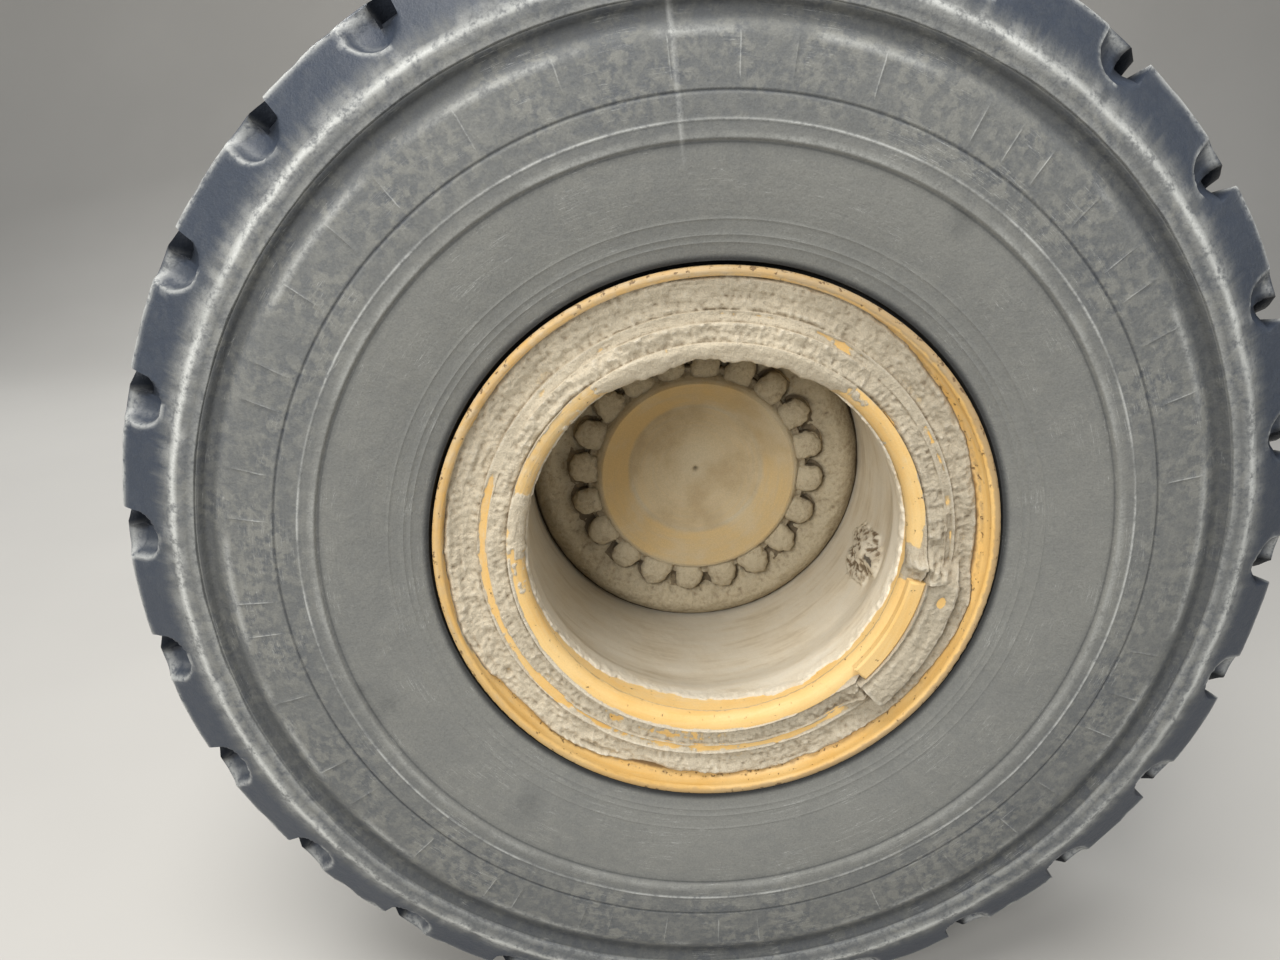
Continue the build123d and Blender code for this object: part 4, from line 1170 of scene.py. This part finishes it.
def build_bore_dust(mud, finish):
    """Dust that lines the rim's bore from the hub to the gutter, with a clump over the valve."""
    hub_end, gutter_end = HUB_FRONT - 0.026, RIM_FRONT - 0.018
    out = np.linspace(hub_end, gutter_end, 100)[:, None]
    angle = even_angles(720)[None, :]
    swept = layers(angle, out, 20, 0.07, 71, 3)
    fine = layers(angle, out, 200, 0.012, 81, 2)
    ragged = layers(angle, 0 * out + 0.3, 50, 0.3, 91, 4)
    crumbly = layers(angle, out, 170, 0.014, 97, 3)
    knobbly = layers(angle, out, 230, 0.012, 95, 3)
    bore_radius, narrowing = 0.280, 0.0140
    narrows_from, narrows_to = 0.430, RIM_FRONT - 0.070
    in_gutter = smooth_step((out - 0.470) / 0.035)
    climb = smooth_step((out - narrows_from) / (narrows_to - narrows_from))
    radius = bore_radius - mud.bore_dust - narrowing * climb
    radius = radius + 0.0010 * swept * (1 - 0.75 * in_gutter) - 0.0002 * fine - 0.0022 * in_gutter
    # how far out the dust reaches before the bare paint of the gutter begins
    end = around(
        angle, (-100, 0.526), (-63, 0.550), (-33, 0.546), (12, 0.556), (45, 0.562), (130, 0.562),
        (172, 0.562), (192, 0.560), (206, 0.553), (225, 0.541), (245, 0.528),
    )
    past_end = (out - end - 0.0036 * ragged - 0.0026 * crumbly) / 0.004
    mouth = bell((past_end + 2.4) / 3.6) * np.clip(0.75 + 0.6 * crumbly, 0, 1)
    radius = radius - 0.0010 * mouth * (0.7 + 0.8 * fine) + 0.010 * smooth_step(past_end + 0.5)
    # the clump over the valve: angle in degrees, distance out, reach
    clump_deg, clump_out, clump_reach = -20.0, 0.372, 0.058
    reach = np.hypot(turn_between(angle, clump_deg) * 0.27 * 1.25, (out - clump_out) / 1.15) / clump_reach
    reach = reach + 0.20 * layers(angle, out, 80, 0.034, 93, 3)
    clump = np.clip(1 - reach, 0, 1) ** 0.45 * (1 + 0.40 * knobbly)
    smooth = radius
    radius = radius - 0.010 * clump
    # the valve's foot and its stem, each under a lumpy cap
    round_valve = turn_between(angle, VALVE_DEG) * VALVE_RADIUS
    from_foot = np.hypot(round_valve, out - VALVE_FOOT)
    from_stem = np.hypot(round_valve, np.maximum(np.abs(out - VALVE_OUT) - VALVE_HALF_LENGTH, 0))
    # distance from the cap's middle, how much further from the axle its top is than the valve, half width
    for away, further, half_width in ((from_foot, -0.0020, 0.0115), (from_stem, 0.0035, 0.0065)):
        cap = 0.85 * np.maximum(away * (1 + 0.10 * knobbly) - half_width, 0) + 0.0014 * knobbly
        cap = VALVE_RADIUS + further + cap
        radius = np.minimum(radius, cap)
    thick = np.clip(1.1 * clump + (smooth - radius) / 0.007 + 0.35 * mouth, 0, 1)
    # how pale and flaky the dust's mouth is round the bore
    flaky = around(
        angle, (-110, 0.45), (-35, 0.50), (0, 0.90), (60, 0.60), (180, 0.80), (205, 1.0), (232, 1.0)
    )
    pale = np.clip(mouth * flaky - smooth_step(past_end), 0, 1)
    # painted shade from the dust's relief, darkest in its hollows
    hollow = hollows(-radius, 3, 0.0016)
    back = [(0.272, gutter_end), (0.284, RIM_FRONT - 0.095), (0.284, hub_end)]
    return lay_grid("bore_dust", radius, angle, out, finish, 60, back, thick=thick, hollow=hollow, pale=pale)


def build_inboard_mud(finish):
    """Mud in the channel of the inboard flange."""
    inner, outer = 0.300, 0.366
    radius = np.linspace(inner, outer, 26)[:, None]
    angle = even_angles(600)[None, :]
    climb = np.clip((radius - 0.330) / 0.036, 0, 1)
    swept = layers(angle, radius, 46, 0.012, 101, 4)
    level = 0.045 - 0.014 * climb**1.5 - 0.0024 * swept
    level = level + 0.010 * smooth_step((radius - 0.352 - 0.006 * swept) / 0.008)
    level = level + 0.010 * (1 - smooth_step((radius - 0.310) / 0.010))
    back = [(outer, 0.058), (inner, 0.058)]
    # painted light and shade from the mud's relief: its hollows darker, its lumps paler
    return lay_grid("inboard_mud", radius, angle, level, finish, 60, back, hollow=hollows(-level, 3, 0.0022))


class WHEEL_END_OT_mud(Operator):
    """Lay dried mud on the rim's face, in its bore and in the inboard flange"""

    bl_idname = "wheel_end.mud"
    bl_label = "Rim mud"

    def execute(self, context):
        colours = context.scene.wheel_end_colours
        mud = context.scene.wheel_end_mud
        finish = dried_mud(colours)
        key_low, key_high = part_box("driver_key")
        key_deg = math.degrees(math.atan2(key_low.z + key_high.z, key_low.x + key_high.x))
        for piece in (
            build_rim_mud(mud, key_deg, -key_low.y, finish),
            build_bore_dust(mud, swept_dust(colours)),
            build_inboard_mud(finish),
        ):
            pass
        return {"FINISHED"}


# Hub


# how far the cover's face, on which its bolts sit, stands out from the hub
COVER_FACE = HUB_FRONT + 0.014


def build_cover(cover, finish):
    """The scalloped hub cover: lobes round the bolts, a raised rim and a dished middle."""
    angle = even_angles(1200)[None, :]
    spacing = TAU / cover.bolt_count
    off_lobe = (angle - cover.bolt_phase + spacing / 2) % spacing - spacing / 2
    sideways = cover.bolt_circle * np.sin(off_lobe)
    bulge = np.sqrt(np.clip(cover.lobe_radius**2 - sideways**2, 0, None))
    lobe = np.where(np.abs(sideways) < cover.lobe_radius, cover.bolt_circle * np.cos(off_lobe) + bulge, 0)
    outline = np.maximum(lobe, cover.valley_radius)

    floor = COVER_FRONT - cover.dish_depth
    slope_top = cover.rim_radius - 0.004
    rim_foot = cover.rim_radius + 0.014
    # radius and distance out of the turned middle, from its centre mark to the foot of the rim
    middle = np.array(
        [
            (0.0, floor - 0.006), (0.003, floor - 0.005), (0.0055, floor - 0.0005), (0.008, floor),
            (0.016, floor + 0.0006), (0.019, floor), (0.045, floor), (0.080, floor), (0.104, floor + 0.0005),
            (cover.dish_radius, floor + 0.002), (0.116, floor + 0.006),
            (slope_top - 0.006, COVER_FRONT - 0.007), (slope_top - 0.001, COVER_FRONT - 0.0015),
            (slope_top + 0.001, COVER_FRONT), (cover.rim_radius, COVER_FRONT - 0.001),
            (cover.rim_radius + 0.003, COVER_FRONT - 0.004), (cover.rim_radius + 0.008, COVER_FACE + 0.004),
            (cover.rim_radius + 0.011, COVER_FACE + 0.0005), (rim_foot, COVER_FACE),
        ]
    )
    face_radius = rim_foot + (outline - 0.003 - rim_foot) * np.linspace(0.0, 1.0, 9)[1:, None]
    # how far each row of the rounded edge and the side lies inside the outline and behind the face
    side = np.array([(0.0012, 0.0006), (0.0002, 0.002), (0.0, 0.006), (0.0, 0.0142)])
    under = np.array([(cover.rim_radius - 0.012, HUB_FRONT), (0.10, floor - 0.012), (0.0, floor - 0.012)])
    radius = np.concatenate([middle[:, :1] + 0 * angle, face_radius, outline - side[:, :1]])
    side_out = COVER_FACE - side[:, 1:] + 0 * angle
    out = np.concatenate([middle[:, 1:] + 0 * angle, COVER_FACE + 0 * face_radius, side_out])
    radius, out = add_rows(radius, under[:, 0]), add_rows(out, under[:, 1])

    rough = smooth_step((radius - cover.rim_radius - 0.002) / 0.01)
    shown = np.ones_like(radius)
    shown[-len(side) - len(under) :] = 0
    out = out + shown * rough * (0.0022 * layers(angle, radius, 110, 0.02, 111, 3) + 0.0008)
    out = out + shown * (1 - rough) * 0.0005 * layers(angle, radius, 14, 0.05, 121, 3)
    radius = np.where(radius > 0.02, radius + 0.0010 * rough * layers(angle, out, 160, 0.012, 131, 3), radius)
    # painted shade along the lobes' outer edges, between the lobes, at the foot of the raised rim and in the
    # centre mark
    valley = np.clip((outline - radius) / 0.008, 0, 1)
    hollow = 0.50 * (1 - valley) * smooth_step((radius - cover.rim_radius - 0.018) / 0.006)
    between = smooth_step((np.abs(sideways) - 0.0165) / 0.006)
    hollow = hollow + 0.40 * between * smooth_step((radius - cover.rim_radius - 0.010) / 0.006)
    hollow = hollow + 0.45 * bell((radius - cover.rim_radius - 0.010) / 0.0035)
    hollow = hollow + 0.8 * (bell(radius / 0.0045) + 0.25 * bell((radius - 0.0165) / 0.0015))
    return lay_grid("cover_face", radius, angle, out, finish, 50, hollow=np.clip(hollow, 0, 1))


def build_bolt_heads(cover, finish):
    """Bolt heads on the cover, each so caked with dust that it is a rounded knob over its lobe."""
    rng = np.random.default_rng(7)
    count = 56
    spread = even_angles(count)
    # share of half the head's size, height above the cover's face, share of the hexagon in it, and painted
    # shade on its outer side
    rings = (
        (1.78, -0.0030, 0.0, 0.85), (1.74, 0.0005, 0.0, 0.45), (1.66, 0.0034, 0.0, 0.12),
        (1.53, 0.0062, 0.15, 0.0), (1.36, 0.0086, 0.3, 0.0), (1.14, 0.0106, 0.5, 0.0),
        (0.88, 0.0120, 0.6, 0.0), (0.58, 0.0128, 0.4, 0.0), (0.28, 0.0130, 0.0, 0.0),
    )
    points, faces, hollow = [], [], []
    for bolt in range(cover.bolt_count):
        middle = cover.bolt_phase + bolt * TAU / cover.bolt_count
        x, z = cover.bolt_circle * math.cos(middle), cover.bolt_circle * math.sin(middle)
        turn, cake, lean = rng.uniform(0, TAU / 6), rng.uniform(0.0, 1.0), rng.uniform(-0.05, 0.05)
        size = cover.bolt_size / 2 * rng.uniform(0.93, 1.06)
        wedge = (spread - turn + TAU / 12) % (TAU / 6) - TAU / 12
        hexagon = 0.95 / np.cos(wedge)
        swings = rng.uniform(-1, 1, (4, 2))
        dent = sum(
            0.042 * (swing[0] * np.sin(turns * spread) + swing[1] * np.cos(turns * spread))
            for turns, swing in zip((2, 3, 5, 9), swings)
        )
        bumps = rng.uniform(-1, 1, (len(rings), 10))
        outward = np.cos(spread - middle)
        # towards the cover's middle the caked dust runs on into the cover, so each head looks like a petal
        runs_on = smooth_step(-outward)
        first = len(points)
        for ring, (share, height, faceted, dark) in enumerate(rings):
            faceted = faceted * (1 - 0.8 * cake)
            outline = (hexagon * faceted + 1 - faceted) * share * (1 + dent * (1.0 if share > 0.3 else 0.2))
            outline = outline * (1 + 0.40 * runs_on * smooth_step((share - 0.5) / 1.0))
            reach = outline * size + rng.uniform(-0.0003, 0.0003, count)
            lift = height + rng.uniform(-0.0003, 0.0003, count) + lean * reach * np.cos(spread)
            knobbly = np.interp(spread, np.linspace(0, TAU, 11), np.append(bumps[ring], bumps[ring][0]))
            lift = lift + (ring > 1) * (0.0010 * cake + 0.0013 * knobbly * (share > 0.3))
            points += zip(x + reach * np.cos(spread), -(COVER_FACE + lift), z + reach * np.sin(spread))
            # painted shadow on each knob's low rings, on the side away from the cover's middle
            hollow += list(dark * smooth_step(outward + 0.6))
        for low in range(first, first + (len(rings) - 1) * count, count):
            for k in range(count):
                after = (k + 1) % count
                faces.append((low + k, low + count + k, low + count + after, low + after))
        faces.append(tuple(range(first, first + count)))
        faces.append(tuple(range(first + len(rings) * count - 1, first + (len(rings) - 1) * count - 1, -1)))
    mesh = bpy.data.meshes.new("cover_bolt_heads")
    mesh.from_pydata(points, [], faces)
    mesh.attributes.new("hollow", "FLOAT", "POINT").data.foreach_set("value", hollow)
    shape = bmesh.new()
    shape.from_mesh(mesh)
    bmesh.ops.recalc_face_normals(shape, faces=shape.faces)
    shape.to_mesh(mesh)
    shape.free()
    return ride_wheel("cover_bolt_heads", mesh, finish, 55)


def build_hub_mud(mud, cover, finish):
    """The ring of mud between the hub's cover and the rim's bore: it rises, then rounds off at the bore."""
    inner, outer = 0.176, 0.277
    rolled_off = [0.2625, 0.265, 0.2675, 0.2695, 0.2715, 0.2735, 0.2755, outer]
    radius = np.concatenate([np.linspace(inner, 0.260, 46), rolled_off])[:, None]
    angle = even_angles(900)[None, :]
    off_lobe = turn_between(cover.bolt_count * (angle - cover.bolt_phase), 0.0) / cover.bolt_count
    from_bolt = np.hypot(radius * np.cos(off_lobe) - cover.bolt_circle, radius * np.sin(off_lobe))
    moat = bell((from_bolt - cover.lobe_radius - 0.0015) / 0.0045)
    lumpy = layers(angle, radius, 70, 0.022, 141, 4)
    crumbs = layers(angle, radius, 240, 0.009, 145, 2)
    level = mud.hub_level - 0.0005 + 0.0065 * smooth_step((radius - 0.212) / 0.030)
    settled = 1 - 0.75 * smooth_step((radius - 0.240) / 0.014)
    level = level + 0.0032 * lumpy * settled + 0.0005 * crumbs - 0.0055 * moat * (radius > cover.bolt_circle)
    level = level - 0.032 * np.clip((radius - 0.238) / 0.038, 0, 1) ** 2.3
    # painted shade in the mud's hollows near the cover, and painted shadow in the moat round each lobe
    # outside the bolt circle
    hollow = hollows(level, 5, 0.0034) * settled
    hollow = np.maximum(hollow, (0.55 + 0.25 * lumpy) * moat * (radius > cover.bolt_circle - 0.004))
    # painted shade on the rolled edge at the bore, darkest on the right
    rolled = np.clip((radius - 0.242) / 0.030, 0, 1)
    shaded = around(angle, (-60, 0.30), (0, 0.52), (50, 0.45), (120, 0.30)) * rolled
    hollow = np.maximum(hollow, shaded + 0.60 * smooth_step((radius - 0.2700 - 0.0012 * lumpy) / 0.0035))
    back = [(place, 0.206) for place in (outer, 0.230, inner)]
    return lay_grid("hub_mud", radius, angle, level, finish, 60, back, hollow=np.clip(hollow, 0, 1))


class WHEEL_END_OT_hub(Operator):
    """Model the dusty hub cover, its bolt heads and the mud round it"""

    bl_idname = "wheel_end.hub"
    bl_label = "Hub"

    def execute(self, context):
        scene = context.scene
        dust = hub_dust(scene.wheel_end_colours, scene.wheel_end_cover)
        cover = build_cover(scene.wheel_end_cover, dust)
        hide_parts("final_drive_cover")
        bolts = build_bolt_heads(scene.wheel_end_cover, dust)
        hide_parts("cover_bolts")
        ring = build_hub_mud(scene.wheel_end_mud, scene.wheel_end_cover, dust)
        repaint(("hub", "wheel_studs", "planet_gear_block"), dusty_casting(scene.wheel_end_colours))
        return {"FINISHED"}


class WHEEL_END_OT_axle_end(Operator):
    """Finish the brake housing, the spindle, its bolts, the seal and the valve"""

    bl_idname = "wheel_end.axle_end"
    bl_label = "Axle end"

    def execute(self, context):
        colours = context.scene.wheel_end_colours
        repaint(("brake_housing", "spindle_bolts"), dusty_casting(colours))
        repaint(("spindle", "hub_seal_ring", "valve_stem"), worn_steel(colours))
        return {"FINISHED"}


# Stage


@kept
def pale_floor(floor, colours):
    """Plain pale floor, very slightly uneven in tone."""
    tint = floor.shade(colours.floor, floor.speckle(0.9, 3.0, 0.5).rise(0.3, 0.7, 0.97, 1.02))
    return floor.done(tint, 0.85, specular=0.2)


def lay_floor(scene):
    """A pale floor that bends up into a backdrop behind the wheel."""
    ground = -CROWN_RADIUS
    half_width, front, back, wall = 14.0, -14.0, 4.0, 7.0
    bend = 2.5
    steps = 24
    rows = [(front, ground), (back, ground)]
    for k in range(1, steps + 1):
        turn = k / steps * math.pi / 2
        rows.append((back + bend * math.sin(turn), ground + bend * (1 - math.cos(turn))))
    rows.append((back + bend, ground + wall))
    verts = [(x, y, z) for y, z in rows for x in (-half_width, half_width)]
    faces = [(2 * k, 2 * k + 1, 2 * k + 3, 2 * k + 2) for k in range(len(rows) - 1)]
    mesh = bpy.data.meshes.new("studio_floor")
    mesh.from_pydata(verts, [], faces)
    mesh.shade_smooth()
    mesh.materials.append(pale_floor(scene.wheel_end_colours))
    floor = bpy.data.objects.new("studio_floor", mesh)
    scene.collection.objects.link(floor)


def hang_lights(scene):
    """Soft lights over, before, beside and behind the wheel, and a pale sky."""
    # name, place, size, power in watts, warmth of the light
    lamps = (
        ("overhead_softbox", (-0.9, -2.0, 4.0), 2.6, 165.0, (1.0, 0.985, 0.965)),
        ("front_softbox", (-2.1, -4.8, 2.4), 2.0, 165.0, (1.0, 0.99, 0.97)),
        ("side_softbox", (4.0, -3.0, 1.6), 2.4, 30.0, (0.95, 0.975, 1.0)),
        ("back_softbox", (-1.8, 4.2, 3.4), 3.0, 170.0, (0.97, 0.985, 1.0)),
    )
    for name, place, size, power, warmth in lamps:
        light = bpy.data.lights.new(name, "AREA")
        light.shape = "DISK"
        light.size = size
        light.energy = power
        light.color = warmth
        lamp = bpy.data.objects.new(name, light)
        lamp.location = place
        aim = Vector((0, -WHEEL_CENTRE, 0)) - Vector(place)
        lamp.rotation_euler = aim.to_track_quat("-Z", "Y").to_euler()
        scene.collection.objects.link(lamp)
    world = bpy.data.worlds.new("studio_air")
    world.use_nodes = True
    world.node_tree.nodes["Background"].inputs["Color"].default_value = (0.86, 0.90, 0.96, 1.0)
    world.node_tree.nodes["Background"].inputs["Strength"].default_value = 0.27
    scene.world = world
    scene.view_settings.view_transform = "Standard"


def set_camera(scene):
    """The camera that sees the wheel as the photo does."""
    eye = bpy.data.cameras.new("photo_camera")
    eye.sensor_width = 36.0
    eye.lens = 28.38
    camera = bpy.data.objects.new("photo_camera", eye)
    stand = Matrix.Translation((-0.1507, -1.8355, 0.5349))
    # heading, pitch and roll
    for degrees, axis in ((-2.06, "Z"), (90 - 19.11, "X"), (0.67, "Z")):
        stand = stand @ Matrix.Rotation(math.radians(degrees), 4, axis)
    camera.matrix_world = stand
    scene.collection.objects.link(camera)
    scene.camera = camera


class WHEEL_END_OT_stage(Operator):
    """Set the pale floor and backdrop, the soft lights and the camera"""

    bl_idname = "wheel_end.stage"
    bl_label = "Stage"

    def execute(self, context):
        lay_floor(context.scene)
        hang_lights(context.scene)
        set_camera(context.scene)
        return {"FINISHED"}


class WHEEL_END_PT_panel(Panel):
    """Lists the pieces of the wheel end and their sizes"""

    bl_idname = "WHEEL_END_PT_panel"
    bl_label = "Wheel end"
    bl_space_type = "VIEW_3D"
    bl_region_type = "UI"
    bl_category = "Wheel end"

    def draw(self, context):
        for operator in OPERATORS:
            self.layout.operator(operator.bl_idname)
        for name in SETTINGS:
            box = self.layout.box()
            box.label(text=name.replace("wheel_end_", "").capitalize())
            settings = getattr(context.scene, name)
            for key in settings.__annotations__:
                box.prop(settings, key)


OPERATORS = (
    WHEEL_END_OT_stage,
    WHEEL_END_OT_tyre,
    WHEEL_END_OT_rim,
    WHEEL_END_OT_mud,
    WHEEL_END_OT_hub,
    WHEEL_END_OT_axle_end,
)
SETTINGS = {
    "wheel_end_tread": WHEEL_END_PG_tread,
    "wheel_end_wall": WHEEL_END_PG_wall,
    "wheel_end_mud": WHEEL_END_PG_mud,
    "wheel_end_cover": WHEEL_END_PG_cover,
    "wheel_end_colours": WHEEL_END_PG_colours,
}


def register():
    for settings in SETTINGS.values():
        bpy.utils.register_class(settings)
    for operator in OPERATORS:
        bpy.utils.register_class(operator)
    bpy.utils.register_class(WHEEL_END_PT_panel)
    for name, settings in SETTINGS.items():
        setattr(bpy.types.Scene, name, PointerProperty(type=settings))


def unregister():
    for name in SETTINGS:
        delattr(bpy.types.Scene, name)
    bpy.utils.unregister_class(WHEEL_END_PT_panel)
    for operator in reversed(OPERATORS):
        bpy.utils.unregister_class(operator)
    for settings in reversed(SETTINGS.values()):
        bpy.utils.unregister_class(settings)


def main():
    register()
    bpy.ops.wheel_end.stage()
    bpy.ops.wheel_end.tyre()
    bpy.ops.wheel_end.rim()
    bpy.ops.wheel_end.mud()
    bpy.ops.wheel_end.hub()
    bpy.ops.wheel_end.axle_end()


if __name__ == "__main__":
    main()
